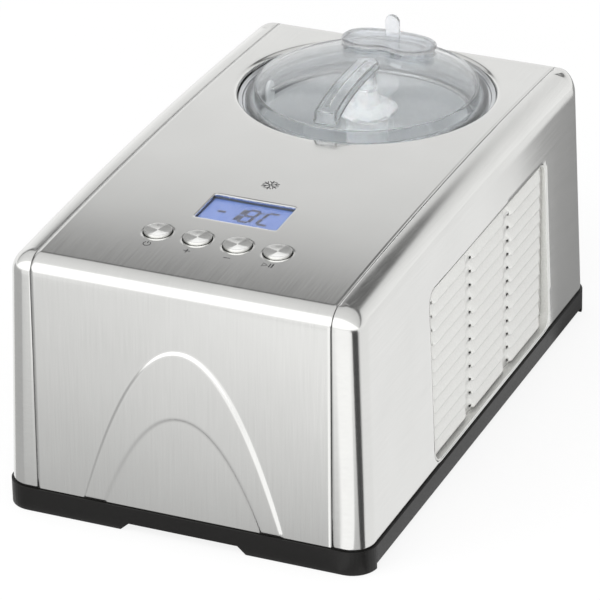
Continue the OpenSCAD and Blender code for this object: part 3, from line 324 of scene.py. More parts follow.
# %% [markdown]
# ## Finishes
#
# A finish is more than a colour. Brushed steel is a metal whose fine parallel scratches blur what it
# mirrors, moulded plastic has a faint grain, cast parts are mottled. Each finish is named for how its
# surface was made, and its pattern is sized from a real distance in millimetres. Colours are written
# as sRGB hex values and turned linear by one function.

# %% Colour and node helpers


def linear(hex_colour):
    """sRGB hex to linear: value / 12.92 below 0.04045, and ((value + 0.055) / 1.055) ^ 2.4 above."""
    value = np.array([int(hex_colour[i:i + 2], 16) / 255 for i in (1, 3, 5)])
    value = np.where(value <= 0.04045, value / 12.92, ((value + 0.055) / 1.055)**2.4)
    return (*value.tolist(), 1.0)


def add_node(tree, kind, *inputs, **named):
    """Adds a shader node. Inputs are set or linked in order, or by name, and a node given as an input
    stands for its first output. A name in small letters is a setting of the node."""
    node = tree.nodes.new("ShaderNode" + kind)
    for key in [key for key in named if key.islower()]:
        setattr(node, key, named.pop(key))
    for key, value in [*enumerate(inputs), *named.items()]:
        if isinstance(value, bpy.types.Node):
            value = value.outputs[0]
        if isinstance(value, bpy.types.NodeSocket):
            tree.links.new(value, node.inputs[key])
        else:
            node.inputs[key].default_value = value
    return node


def new_material(name, colour, **sockets):
    """A material with one Principled shader, and the tree and shader to build on."""
    material = bpy.data.materials.new(name)
    material.use_nodes = True
    tree = material.node_tree
    shader = next(n for n in tree.nodes if n.type == "BSDF_PRINCIPLED")
    shader.inputs["Base Color"].default_value = linear(colour)
    for key, value in sockets.items():
        shader.inputs[key.replace("_", " ")].default_value = value
    return material, tree, shader


def object_pattern(tree, size_mm, **inputs):
    """Noise on Object coordinates whose features are size_mm across, given for X, Y and Z."""
    coordinates = add_node(tree, "TexCoord")
    mapping = add_node(tree, "Mapping", Vector=coordinates.outputs["Object"],
                       Scale=tuple(1.0 / (size * MM) for size in size_mm))
    return add_node(tree, "TexNoise", Vector=mapping, Scale=1.0, **inputs)


def sheen(tree, shader, pattern, low, high):
    """Maps a pattern's 0.3 to 0.7 onto low to high, for the roughness."""
    spread = add_node(tree, "MapRange", pattern, 0.3, 0.7, low, high)
    tree.links.new(spread.outputs[0], shader.inputs["Roughness"])


def tint(tree, shader, pattern, dark, light):
    """Mixes two hex colours over a pattern's 0.3 to 0.7, for the base colour."""
    ramp = add_node(tree, "ValToRGB", Fac=pattern)
    for stop, position, colour in zip(ramp.color_ramp.elements, (0.3, 0.7), (dark, light)):
        stop.position, stop.color = position, linear(colour)
    tree.links.new(ramp.outputs[0], shader.inputs["Base Color"])


def relief(tree, shader, pattern, depth_mm, strength):
    """Lets a pattern stand up from the surface by depth_mm."""
    bump = add_node(tree, "Bump", Strength=strength, Distance=depth_mm * MM, Height=pattern)
    tree.links.new(bump.outputs[0], shader.inputs["Normal"])


# %% [markdown]
# ### Metals
#
# The cladding is stainless sheet, belt-brushed before it is bent, so its scratches run one way. A noise
# squeezed hard across the brushing and stretched along it gives those lines. They are drawn about
# half a millimetre apart, because real ones, at a tenth of that, would not show. A second, broad noise
# keeps the sheen from being perfectly even.

# %% Brushed and spun metals
RING_GAP = 0.5
# Bearing of the two fans of painted highlight on the spun buttons.
PAINTED_FAN_BEARING = math.radians(59)


def brushed(name, size_mm, roughness=(0.13, 0.18)):
    """Belt-brushed stainless sheet. size_mm is short across the brushing and long along it."""
    material, tree, shader = new_material(name, "#dadad8", Metallic=1.0)
    lines = object_pattern(tree, size_mm, Detail=3.0, Roughness=0.6)
    cloud = object_pattern(tree, (60, 60, 60), Detail=2.0)
    broad = add_node(tree, "Math", cloud, 0.4, operation="MULTIPLY")
    both = add_node(tree, "Math", lines, 0.6, broad, operation="MULTIPLY_ADD")
    tint(tree, shader, both, "#d6d6d4", "#dfdfdd")
    sheen(tree, shader, lines, *roughness)
    relief(tree, shader, lines, 0.008, 0.25)
    return material


steel_long = brushed("brushed_stainless_lengthwise", (0.5, 40, 40))
steel_side = brushed("brushed_stainless_side", (6, 40, 0.6))
steel_rear = brushed("brushed_stainless_rear", (0.5, 40, 40), (0.22, 0.3))


def spun(name, x, y):
    """Face-turned metal: rings half a millimetre apart around (x, y), as a lathe tool leaves them.

    A wave's rings are 2 pi / (20 * scale) apart. The shader's tangent runs around the centre, so that
    reflections stretch outwards, and the cosine of twice the bearing paints two bright highlight fans
    into the base colour."""
    material, tree, shader = new_material(name, "#e0e0de", Metallic=1.0, Anisotropic=0.85)
    coordinates = add_node(tree, "TexCoord")
    centred = add_node(tree, "Mapping", Vector=coordinates.outputs["Object"],
                       Location=(-x * MM, -y * MM, 0))
    tangent = add_node(tree, "VectorMath", (0, 0, 1), centred, operation="CROSS_PRODUCT")
    tree.links.new(tangent.outputs[0], shader.inputs["Tangent"])
    rings = add_node(tree, "TexWave", Vector=centred, Scale=2 * math.pi / (20 * RING_GAP * MM),
                     Distortion=0.4, Detail=2.0, wave_type="RINGS", rings_direction="Z").outputs["Fac"]
    flat = add_node(tree, "SeparateXYZ", centred)
    bearing = add_node(tree, "Math", flat.outputs["Y"], flat.outputs["X"], operation="ARCTAN2")
    # Painted highlight: the colour lightens and darkens with the cosine of twice the bearing, in two
    # fans.
    doubled = add_node(tree, "Math", bearing, 2.0, 2 * PAINTED_FAN_BEARING, operation="MULTIPLY_ADD")
    painted_fans = add_node(tree, "Math", doubled, operation="COSINE")
    share = add_node(tree, "MapRange", painted_fans, -0.4, 0.4, 0.3, 0.66, interpolation_type="SMOOTHSTEP")
    grooves_and_painted_fans = add_node(tree, "Math", rings, 0.06, share, operation="MULTIPLY_ADD")
    # The tint is mostly the painted highlight fans, with faint lathe rings on top.
    tint(tree, shader, grooves_and_painted_fans, "#b2b2b0", "#fafaf8")
    sheen(tree, shader, rings, 0.26, 0.32)
    relief(tree, shader, rings, 0.004, 0.3)
    return material


def grained(name, dark, light, roughness, grain_mm, depth, detail, strength, **sockets):
    """A fine mottled grain in a surface's colour, sheen and relief."""
    material, tree, shader = new_material(name, light, **sockets)
    grain = object_pattern(tree, (grain_mm,) * 3, Detail=detail)
    tint(tree, shader, grain, dark, light)
    sheen(tree, shader, grain, *roughness)
    relief(tree, shader, grain, depth, strength)
    return material


def metal(name, dark, light, roughness, grain_mm, metallic=1.0):
    """Drawn, cast or plated metal."""
    return grained(name, dark, light, roughness, grain_mm, 0.01, 4.0, 0.3, Metallic=metallic)


FINISH = {
    "vent_aluminium": metal("satin_lacquered_aluminium", "#dadad7", "#e4e4e1", (0.34, 0.44), 1.2, 0.4),
    "bowl_metal": metal("anodised_aluminium_bowl", "#e6e8e9", "#f0f2f3", (0.34, 0.44), 3.0, 0.3),
    "can_aluminium": metal("deep_drawn_aluminium", "#d0d2d4", "#dadcde", (0.36, 0.46), 3.0, 0.6),
    "bail_wire": metal("polished_stainless_wire", "#c0c0c0", "#cccccc", (0.12, 0.2), 1.0),
    "steel_screw": metal("zinc_plated_steel", "#a8a8a4", "#bcbcb8", (0.3, 0.45), 1.0),
    "shaft_steel": metal("ground_steel", "#b4b6b8", "#c4c6c8", (0.18, 0.28), 0.6),
    "copper_tube": metal("drawn_copper", "#b3704a", "#c98660", (0.25, 0.4), 4.0),
    "bush_bronze": metal("sintered_bronze", "#9c7c46", "#b39257", (0.4, 0.55), 0.5),
    "fin_aluminium": metal("rolled_aluminium_fin", "#bcbec0", "#cccecf", (0.3, 0.4), 2.0),
    "motor_steel": metal("zinc_coated_can", "#8c8f91", "#a0a3a5", (0.35, 0.5), 3.0),
}

# %% [markdown]
# ### Plastics, rubber, foam and paint
#
# Moulded plastic takes the grain of its tool: the base is spark-eroded, a fine satin texture of a few
# tenths of a millimetre, and the paddle is polished. Painted and cast parts inside the machine get the
# orange peel or pores that theirs have.

# %% Moulded and cast finishes


def moulded(name, dark, light, roughness, grain_mm=0.8, depth=0.03, **sockets):
    """Moulded, cast, printed or painted surface."""
    return grained(name, dark, light, roughness, grain_mm, depth, 3.0, 0.4, **sockets)


FINISH.update({
    "black_plastic": moulded("spark_eroded_abs_black", "#0b0a09", "#11100f", (0.38, 0.5),
                             Specular_IOR_Level=0.3),
    "grey_plastic": moulded("moulded_abs_grey", "#4c5054", "#565a5e", (0.4, 0.52)),
    "collar_plastic": moulded("moulded_abs_silver", "#c4c6c8", "#ced0d2", (0.16, 0.24), 1.0, 0.01,
                              Metallic=0.8),
    "paddle_white": moulded("polished_polypropylene_white", "#eceef0", "#f6f7f8", (0.22, 0.32), 6.0,
                            0.02, Subsurface_Weight=0.08, Subsurface_Scale=2 * MM),
    "gear_plastic": moulded("moulded_acetal", "#dedacb", "#ebe8dc", (0.35, 0.45), 2.0),
    "foot_rubber": moulded("moulded_rubber", "#232323", "#2d2d2c", (0.65, 0.8), 0.7),
    "foam": moulded("poured_polyurethane_foam", "#d8cc9c", "#ebe1ba", (0.8, 0.95), 3.0, 0.4),
    "compressor_paint": moulded("sprayed_enamel_black", "#17181a", "#1e2022", (0.25, 0.35), 3.0, 0.06),
    "board": moulded("solder_mask_green", "#1d5a2c", "#2a6e3a", (0.3, 0.42), 3.0),
    "transformer_core": moulded("varnished_laminations", "#553a20", "#6d4b2b", (0.35, 0.5), 2.0),
    "capacitor_can": moulded("moulded_capacitor_case", "#d0d0ca", "#dededa", (0.3, 0.4), 4.0),
})
FINISH["switch_plastic"], FINISH["seal_rubber"] = FINISH["black_plastic"], FINISH["foot_rubber"]
print_ink = moulded("pad_printed_ink_grey", "#2e2e2e", "#3a3a3a", (0.4, 0.55), 0.5)
segment_ink = moulded("liquid_crystal_segment", "#10183c", "#182046", (0.3, 0.4), 0.5)
print("materials:", len(bpy.data.materials))

# %% [markdown]
# ### Clear and lit finishes
#
# The lid, its handle and the filling cap are clear styrene-acrylonitrile, a plastic that bends light
# about as window glass does. Seen square on it all but vanishes, and seen along its surface it mirrors
# the room, so its opacity rises with a Layer Weight. The display is a lit blue panel behind a lens.

# %% Clear plastic and display


def clear_plastic(name, colour, roughness):
    """Injection-moulded clear plastic: fainter face on than where it is seen along its surface."""
    material, tree, shader = new_material(name, colour, IOR=1.5, Transmission_Weight=1.0)
    weight = add_node(tree, "LayerWeight", Blend=0.5)
    alpha = add_node(tree, "MapRange", weight.outputs["Facing"], 0.55, 0.9, 0.75, 1.0)
    tree.links.new(alpha.outputs[0], shader.inputs["Alpha"])
    sheen(tree, shader, object_pattern(tree, (25, 25, 25), Detail=1.0), roughness, roughness + 0.008)
    return material


CLEAR_SLOTS = ("lid_clear", "handle_clear", "cap_clear")
FINISH["lid_clear"] = clear_plastic("clear_san_lid", "#fafcfd", 0.0)
FINISH["handle_clear"] = clear_plastic("clear_san_handle", "#fafcfd", 0.0)
FINISH["cap_clear"] = clear_plastic("clear_san_cap", "#f6f8fb", 0.02)

FINISH["display_lens"], lens_tree, lens_shader = new_material(
    "clear_display_lens", "#e8eefc", IOR=1.49, Transmission_Weight=1.0, Alpha=0.18)
sheen(lens_tree, lens_shader, object_pattern(lens_tree, (8, 8, 8), Detail=1.0), 0.04, 0.08)

FINISH["display_glass"], blue_tree, blue_shader = new_material(
    "lit_blue_display", "#6a84c4", Roughness=0.3, Specular_IOR_Level=0.2,
    Emission_Color=linear("#6a84c4"), Emission_Strength=0.12)
tint(blue_tree, blue_shader, object_pattern(blue_tree, (30, 30, 30), Detail=1.0), "#647ebe", "#708aca")

# %% [markdown]
# ## The body's form
#
# The walls lean in, the top is an arc of a large circle, and the bend between wall and top changes its
# radius around each corner: 12 mm in front, 16 mm at the sides and 4 mm at the rear. One function
# gives any point of that skin from three numbers: how far along the side, which way the wall faces,
# and how far up the bend.

# %% Form


def crown_z(y):
    """Height of the top: the body's height less how far a circle has fallen at y."""
    return BODY_H - CROWN_R + np.sqrt(CROWN_R**2 - np.asarray(y, float)**2)


def climb(z):
    """Share of the wall's height at z."""
    return (np.asarray(z, float) - BASE_H) / (BODY_H - BASE_H)


def side_x(z):
    """Half the width at height z: the wall leans in by SIDE_LEAN over its height."""
    return BODY_W / 2 - LIP - SIDE_LEAN * climb(z)


def skin(t, facing, bend):
    """A point of the right half of the skin.

    t goes 0 to 1 from the front corner to the rear one. facing is the wall's direction, -90 degrees at
    the front, 0 at the side, 90 at the rear. bend is below 0 on the upright wall, -1 at its foot, and
    0 to 90 degrees up the bend. The bend's radius runs from the side's to the end's with the sine of
    facing squared."""
    t, facing, bend = np.broadcast_arrays(np.asarray(t, float), facing, bend)
    facing = np.radians(facing)
    arc = np.radians(np.clip(bend, 0, 90))
    radius = SHOULDER + (np.where(facing < 0, FRONT_BEND, REAR_BEND) - SHOULDER) * np.sin(facing)**2
    z_wall = BODY_H - SHOULDER * (1 - np.sin(arc))
    z_ref = np.where(bend < 0, BASE_H + (BODY_H - SHOULDER - BASE_H) * (1 + bend), z_wall)
    reach = CORNER - radius * (1 - np.cos(arc))
    front = -(BODY_D / 2 - LIP) + FRONT_LEAN * climb(z_ref) + CORNER
    rear = BODY_D / 2 - LIP - REAR_LEAN * climb(z_ref) - CORNER
    x = side_x(z_ref) - CORNER + reach * np.cos(facing)
    y = (1 - t) * front + t * rear + reach * np.sin(facing)
    z_top = crown_z(y) - radius * (1 - np.sin(arc))
    return np.stack([x, y, np.where(bend < 0, BASE_H + (z_top - BASE_H) * (1 + bend), z_top)], -1)


# %% [markdown]
# ## Holes in a sheet
#
# A punched hole in a grid of faces would have a stepped edge. Here every hole is an outline seen from
# its own centre: the faces inside it go, and the points of the edge that is left are moved onto the
# outline. The edge is then rolled down by sweeping it inwards and down, as a press does.

# %% Hole cutter
MERGE_GAP = 0.35  # neighbours on a hole's edge that come closer than this become one point


def rounded_rectangle(half_x, half_y, radius, step=1.0):
    """Outline around the origin: four straight sides joined by quarter circles."""
    turns = np.radians(np.arange(0, 90.1, 10))
    corners = np.vstack([
        np.stack([sx * (half_x - radius) + radius * np.cos(turns + k * np.pi / 2),
                  sy * (half_y - radius) + radius * np.sin(turns + k * np.pi / 2)], -1)
        for k, (sx, sy) in enumerate([(1, 1), (-1, 1), (-1, -1), (1, -1)])])
    run = np.roll(corners, -1, 0) - corners
    count = np.maximum(1, np.linalg.norm(run, axis=1) // step).astype(int)
    return np.vstack([corner + vector * np.linspace(0, 1, n, endpoint=False)[:, None]
                      for corner, vector, n in zip(corners, run, count)])


def circle(radius):
    """Outline of a circle around the origin."""
    return arc(radius, 0, 358, 180)


class Sheet:
    """A sheet of faces between points, with the flat coordinates that its holes are drawn in.

    axes says which two of a point's coordinates are the flat ones, down is the way to the sheet's
    hollow side, and lift(flat) gives the points of the surface over flat places."""

    def __init__(self, points, faces, axes, down, lift):
        self.points, self.faces, self.axes = points, faces, axes
        self.down, self.lift = np.array(down, float), lift
        self.flat = points[:, axes].copy()

    def cut(self, centre, outline, rolls=()):
        """Cuts one hole. rolls are (inwards, down) steps in millimetres for its rolled edge."""
        centre = np.asarray(centre, float)
        bearing = np.arctan2(outline[:, 1], outline[:, 0])
        order = np.argsort(bearing)
        reach = np.linalg.norm(outline, axis=1)[order]

        def edge_reach(away):
            return np.interp(np.arctan2(away[:, 1], away[:, 0]), bearing[order], reach,
                             period=2 * np.pi)

        away = self.flat - centre
        outside = (np.linalg.norm(away, axis=1) - edge_reach(away))[self.faces].mean(1) > 0
        rim = np.intersect1d(self.faces[~outside], self.faces[outside])
        self.faces = self.faces[outside]
        away = self.flat[rim] - centre
        rim = rim[np.argsort(np.arctan2(away[:, 1], away[:, 0]))]
        away = self.flat[rim] - centre
        target = centre + away * (edge_reach(away) / np.linalg.norm(away, axis=1))[:, None]
        self.points[rim], self.flat[rim] = self.lift(target), target
        close = np.linalg.norm(self.flat[rim] - self.flat[np.roll(rim, 1)], axis=1) < MERGE_GAP
        for rows in (self.points, self.flat):
            rows[rim[close]] = rows[np.roll(rim, 1)[close]]
        towards = unit(centre - self.flat[rim])
        last = rim
        for inwards, down in rolls:
            ring = len(self.points) + np.arange(len(rim))
            shifted = self.points[rim] + down * self.down
            shifted[:, self.axes] += inwards * towards
            self.points = np.vstack([self.points, shifted])
            self.flat = np.vstack([self.flat, self.flat[rim] + inwards * towards])
            band = np.stack([last, ring, np.roll(ring, -1), np.roll(last, -1)], -1)
            self.faces = np.vstack([self.faces, band])
            last = ring


# %% [markdown]
# ## Front and top sheet
#
# One sheet covers the front and the top, with a bend between. It is worked out as a grid: one
# direction runs across, the other runs up the front, around the bend, along the crown and over the
# rear edge. The arch on its front is pressed outwards by a height that rises over two millimetres
# along both of its curves.

# %% Front and top sheet
ARCH_TOP, ARCH_INNER_TOP, ARCH_FOOT = 142.0, 91.0, 21.0
ARCH_HALF, ARCH_INNER_HALF = 73.0, 55.7
ARCH_RISE, ARCH_SLOPE, ARCH_POWER = 1.4, 2.1, 2.05
ARCH_SHARE = 0.784  # share of the upright wall that the arch takes, with rows a millimetre apart
FINE_HALF = 76.0  # half the width that has columns a millimetre apart
FINE_STEP = 1.2
BUTTON_R, BUTTON_GAP, BUTTON_PITCH, BUTTON_RISE = 9.6, 0.7, 29.0, 1.8
BUTTON_Y = 69.0 - BODY_D / 2
DISPLAY_HALF, DISPLAY_D = 30.0, 34.5
DISPLAY_Y = 97.0 - BODY_D / 2 + DISPLAY_D / 2
WELL_ROLL = 3.0
EDGE_ROLL = 0.4


def arch_height(x, z):
    """Pressing depth: 0 outside the arch, ARCH_RISE inside, with a smooth ramp along its edges.

    Both edges are curves of the form top - drop * |x / half| ^ ARCH_POWER, and the distance to each is
    the height difference divided by the length of (slope, 1)."""
    inside = z - ARCH_FOOT + ARCH_SLOPE
    for top, half, sign in ((ARCH_TOP, ARCH_HALF, 1), (ARCH_INNER_TOP, ARCH_INNER_HALF, -1)):
        share = np.abs(x / half)
        curve = top - (top - ARCH_FOOT) * share**ARCH_POWER
        slope = (top - ARCH_FOOT) * ARCH_POWER * share**(ARCH_POWER - 1) / half
        inside = np.minimum(inside, sign * (curve - z) / np.sqrt(1 + slope**2))
    ramp = np.clip(inside / ARCH_SLOPE, 0, 1)
    return ARCH_RISE * ramp * ramp * (3 - 2 * ramp)


def top_place(flat):
    """A point of the top over (x, y): on the crown, or on the bend behind it."""
    y = flat[:, 1]
    on_bend = np.interp(y, rear_profile[:, 1], rear_profile[:, 2])
    return np.column_stack([flat, np.where(y < crown_end, crown_z(y), on_bend)])


wall_rows = np.concatenate([np.linspace(-1, ARCH_SHARE - 1, 128),
                            np.linspace(ARCH_SHARE - 1, 0, 9)[1:-1]])
wall = skin(0, -90, wall_rows)
front_bend = skin(0, -90, np.linspace(0, 90, 17))
rear_profile = skin(1, 90, np.linspace(90, 0, 9))
crown_start, crown_end = front_bend[-1, 1], rear_profile[0, 1]
fine_end = crown_start + 118.0
crown_line = np.concatenate([np.arange(crown_start + FINE_STEP, fine_end, FINE_STEP),
                             np.linspace(fine_end, crown_end, 88)[:-1]])
crown_run = np.stack([0 * crown_line, crown_line, crown_z(crown_line)], -1)
profile = np.vstack([wall, front_bend, crown_run, rear_profile, rear_profile[-1:] - [0, 0, 3]])
outer_columns = np.linspace(FINE_HALF, SEAM_X - SEAM_GAP / 2, 14)
across = np.concatenate([-outer_columns[::-1], np.linspace(-FINE_HALF, FINE_HALF, 153)[1:-1],
                         outer_columns])
grid = np.broadcast_to(profile[:, None], (len(profile), len(across), 3)).copy()
grid[..., 0] = across
grid[:len(wall), :, 1] -= arch_height(grid[:len(wall), :, 0], grid[:len(wall), :, 2])
sheet = Sheet(grid.reshape(-1, 3), grid_faces(*grid.shape[:2])[:, ::-1], [0, 1], (0, 0, -1), top_place)
# Front wall points would project into the holes' flat plane, so they are parked in front of them.
sheet.flat[:len(wall) * len(across), 1] -= 50

well_rolls = [*zip(WELL_ROLL * np.sin(ROUND), WELL_ROLL * (1 - np.cos(ROUND))), (WELL_ROLL, 4.0)]
small_rolls = [(0.25, 0.1), (EDGE_ROLL, EDGE_ROLL)]
sheet.cut((0, WELL_Y), circle(WELL_R + WELL_ROLL), well_rolls)
button_x = [(i - 1.5) * BUTTON_PITCH for i in range(4)]
for x in button_x:
    sheet.cut((x, BUTTON_Y), circle(BUTTON_R + BUTTON_GAP + EDGE_ROLL),
              small_rolls + [(EDGE_ROLL, 1.6)])
sheet.cut((0, DISPLAY_Y), rounded_rectangle(DISPLAY_HALF + EDGE_ROLL, DISPLAY_D / 2 + EDGE_ROLL, 1.9),
          small_rolls + [(EDGE_ROLL, 2.8)])
front_top = walled("front_top_sheet", sheet.points, sheet.faces[:, ::-1], 50, SHEET_WALL)
place(front_top, "housing", "front_top_panel", "brushed_sheet", steel_long)
print("front and top sheet:", len(front_top.data.polygons), "faces")

# %% [markdown]
# ## Side sheets
#
# Each side is one sheet too: it wraps both upright corners and turns over the shoulder to meet the top
# at a fine seam. Its grid runs around the corners in one direction and up the wall, the shoulder and
# the narrow strip of top in the other. The vent opening is cut out of it, and the left side is the
# right one mirrored.

# %% Side sheets
VENT_Y, VENT_Z, VENT_CORNER = (-88.0, 133.0), (20.5, 151.5), 10.0
VENT_CENTRE = np.array([sum(VENT_Y) / 2, sum(VENT_Z) / 2])
VENT_HALF = np.array([VENT_Y[1] - VENT_Y[0], VENT_Z[1] - VENT_Z[0]]) / 2
VENT_ROLL = 0.7
WRAP = 17  # columns from a seam to the end of its corner
WALL_LEVELS = 75


def side_place(flat):
    """A point of the leaning wall over (y, z)."""
    return np.column_stack([side_x(flat[:, 1]), flat])


# Each column is (t, facing, share), and share is 0 at the seam and 1 from the corner on.
around = np.array([(0.0, -90.0, s) for s in np.linspace(0, 1, 4)[:-1]]
                  + [(0.0, a, 1.0) for a in np.linspace(-90, 0, 15)]
                  + [(t, 0.0, 1.0) for t in np.linspace(0, 1, 165)[1:-1]]
                  + [(1.0, a, 1.0) for a in np.linspace(0, 90, 15)]
                  + [(1.0, 90.0, s) for s in np.linspace(1, 0, 4)[1:]])
levels = np.concatenate([np.linspace(-1, 0, WALL_LEVELS + 1)[:-1], np.linspace(0, 90, 15)])
grid = skin(around[None, :, 0], around[None, :, 1], levels[:, None])
start_x = SEAM_X + SEAM_GAP / 2
grid[..., 0] = start_x + (grid[..., 0] - start_x) * around[:, 2]
# The strip of top beside the seam: its ends keep to the corners, and the rest runs straight in.
edge_x, edge_y = grid[-1, :, 0], grid[-1, :, 1]
count = len(around)
seam_y = np.interp(np.arange(count), [0, WRAP, count - WRAP - 1, count - 1],
                   edge_y[[0, WRAP, -WRAP - 1, -1]])
seam_y[WRAP:-WRAP] = edge_y[WRAP:-WRAP]
strip = []
for share in (0.33, 0.66, 1.0):
    y = edge_y + (seam_y - edge_y) * share
    strip.append(np.stack([edge_x + (start_x - edge_x) * share, y, crown_z(y)], -1))
grid = np.concatenate([grid, np.array(strip)])
side = Sheet(grid.reshape(-1, 3), grid_faces(*grid.shape[:2])[:, ::-1], [1, 2], (-1, 0, 0), side_place)
# Only the flat wall may be cut: the other points are parked far away from the opening.
flat_grid = side.flat.reshape(*grid.shape[:2], 2)
for parked in (flat_grid[:, :WRAP + 1], flat_grid[:, -WRAP - 1:], flat_grid[WALL_LEVELS + 1:]):
    parked += 500
side.cut(VENT_CENTRE, rounded_rectangle(*(VENT_HALF + VENT_ROLL), VENT_CORNER + VENT_ROLL),
         [(VENT_ROLL / 2, 0.15), (VENT_ROLL, 0.7), (VENT_ROLL, 3.0)])
for hand, sign in (("right", 1), ("left", -1)):
    piece = walled("side_sheet_" + hand, side.points * [sign, 1, 1], side.faces[:, ::-sign], 50,
                   SHEET_WALL)
    place(piece, "housing", "side_panel_" + hand, "brushed_sheet", steel_side)
print("side sheet:", len(piece.data.polygons), "faces")

# %% [markdown]
# ## Louvred inserts
#
# Each vent is a pale stamped tray with three columns of louvres. A louvre is a slit whose upper lip is
# pushed outwards: the height falls from the lip to the sheet above it, and at both ends it runs out in
# a slope, which leaves the small triangles that catch the light. The grid is fine only at those ends.

# %% Louvred inserts
VENT_PLATE = BODY_W / 2 - 8.4
LOUVRE_RISE, LOUVRE_PITCH, LOUVRE_ROWS, LOUVRE_LEN, LOUVRE_END = 3.0, 10.5, 12, 63.5, 3.5
LOUVRE_GAP, LOUVRE_WALL, COLUMNS, COLUMN_PITCH = 1.7, 0.7, 3, 72.0
NOTCH_LEN, NOTCH_HEIGHT = 1.4, 2.6
VENT_FIT, TRAY_WALL = 0.3, 1.2
louvre_y0 = VENT_CENTRE[0] - (2 * COLUMN_PITCH + LOUVRE_LEN) / 2
louvre_z0 = VENT_CENTRE[1] - (LOUVRE_ROWS * LOUVRE_PITCH - LOUVRE_GAP) / 2

ramp = np.linspace(0, LOUVRE_END, 6)
one_column = np.concatenate([ramp, np.linspace(LOUVRE_END, LOUVRE_LEN - LOUVRE_END, 14)[1:-1],
                             LOUVRE_LEN - ramp[::-1]])
along = louvre_y0 + (np.arange(COLUMNS)[:, None] * COLUMN_PITCH + one_column).ravel()
along = np.concatenate([[VENT_Y[0] + VENT_FIT], along, [VENT_Y[1] - VENT_FIT]])
# Each louvre has a row for the slit's lower lip, then rows from its upper lip to the flat sheet.
share = np.array([0.0, 0.0, 0.1, 0.28, 0.46, 0.64, 0.82, 1.0])
lift = np.array([0.0, *(1 - share[1:])])
row_z = louvre_z0 + np.arange(LOUVRE_ROWS)[:, None] * LOUVRE_PITCH + share * (LOUVRE_PITCH - LOUVRE_GAP)
row_z = np.concatenate([[VENT_Z[0] + VENT_FIT], row_z.ravel(), [VENT_Z[1] - VENT_FIT]])
row_lift = np.concatenate([[0.0], np.tile(lift, LOUVRE_ROWS), [0.0]])
lower_lip = np.concatenate([[False], np.tile(np.arange(len(share)) == 0, LOUVRE_ROWS), [False]])
in_column = (along - louvre_y0) % COLUMN_PITCH
end_lift = np.clip(np.minimum(in_column, LOUVRE_LEN - in_column) / LOUVRE_END, 0, 1)
height = LOUVRE_RISE * np.minimum(end_lift, row_lift[:, None])
slit = lower_lip[:-1, None] & (height[1:, :-1] + height[1:, 1:] > 0.5)
# The press tears a small notch at the front end of each louvre, above its lip.
middle_y = (along[:-1] + along[1:]) / 2 - louvre_y0
middle_z = (row_z[:-1] + row_z[1:]) / 2 - louvre_z0
notch_z = ((middle_z % LOUVRE_PITCH < NOTCH_HEIGHT) & (middle_z > 0)
           & (middle_z < LOUVRE_ROWS * LOUVRE_PITCH - 2))
notch = ((middle_y % COLUMN_PITCH < NOTCH_LEN) & (middle_y > 0)) & notch_z[:, None]
yy, zz = np.meshgrid(along, row_z)
plate = np.stack([VENT_PLATE + height, yy, zz], -1).reshape(-1, 3)
plate_faces = grid_faces(*yy.shape)[~(slit | notch).ravel(), ::-1]

# The tray's rim is a loop of rings: (offset, x), where None follows the leaning wall.
outline = rounded_rectangle(*(VENT_HALF - VENT_FIT), VENT_CORNER - VENT_FIT)
rings = []
for grow, x, back_by in ((0, VENT_PLATE - TRAY_WALL, 0), (0, None, 0.1), (-0.4, None, 0),
                         (-TRAY_WALL, None, 0.3), (-TRAY_WALL, VENT_PLATE + 0.3, 0)):
    ring = VENT_CENTRE + outline + grow * unit(outline)
    ring_x = side_x(ring[:, 1]) - back_by if x is None else np.full(len(ring), x)
    rings.append(np.column_stack([ring_x, ring]))
for hand, sign in (("right", 1), ("left", -1)):
    louvres = walled("louvres_" + hand, plate * [sign, 1, 1], plate_faces[:, ::-sign], 25, LOUVRE_WALL)
    tray_rim = ring_object(f"louvres_{hand}_rim", np.array(rings) * [sign, 1, 1], True, 50)
    for piece in (louvres, tray_rim):
        place(piece, "housing", "vent_grille_" + hand, "vent_aluminium")
print("louvres:", len(louvres.data.polygons), "faces each")

# %% [markdown]
# ## Parts taken over from the CAD
#
# Parts with plain shapes keep the CAD's surface. Their flat faces are joined again and every edge gets
# a small bevel, because a bevel is what shows the eye where a moulding or a folded sheet ends.

# %% Base, rear sheet and fittings
for name, node, edge, slot, *material in (
        ("base_moulding", "base_tray", 0.6, "black_plastic"),
        ("rear_sheet", "rear_panel", 0.3, "brushed_sheet", steel_rear),
        ("inlet", "cord_inlet", 0.3, "black_plastic"), ("feet", "rubber_feet", 0.6, "foot_rubber"),
        ("screws", "rear_screws", 0.15, "steel_screw"),
        ("module_case", "display_module", 0.2, "display_glass")):
    place(from_cad(name, node, edge), "housing", node, slot, *material)
place(from_cad("dasher", "paddle", 0.4, 40), "paddle", "paddle", "paddle_white")

# %% [markdown]
# ## Buttons
#
# Four spun metal caps stand a little proud of the top. Each has a shallow dish, turned on a lathe,
# and the fine circles of the tool stretch its reflections outwards. Two bright fans of highlight are
# painted into its colour. In front of each cap a small icon is printed on the steel.

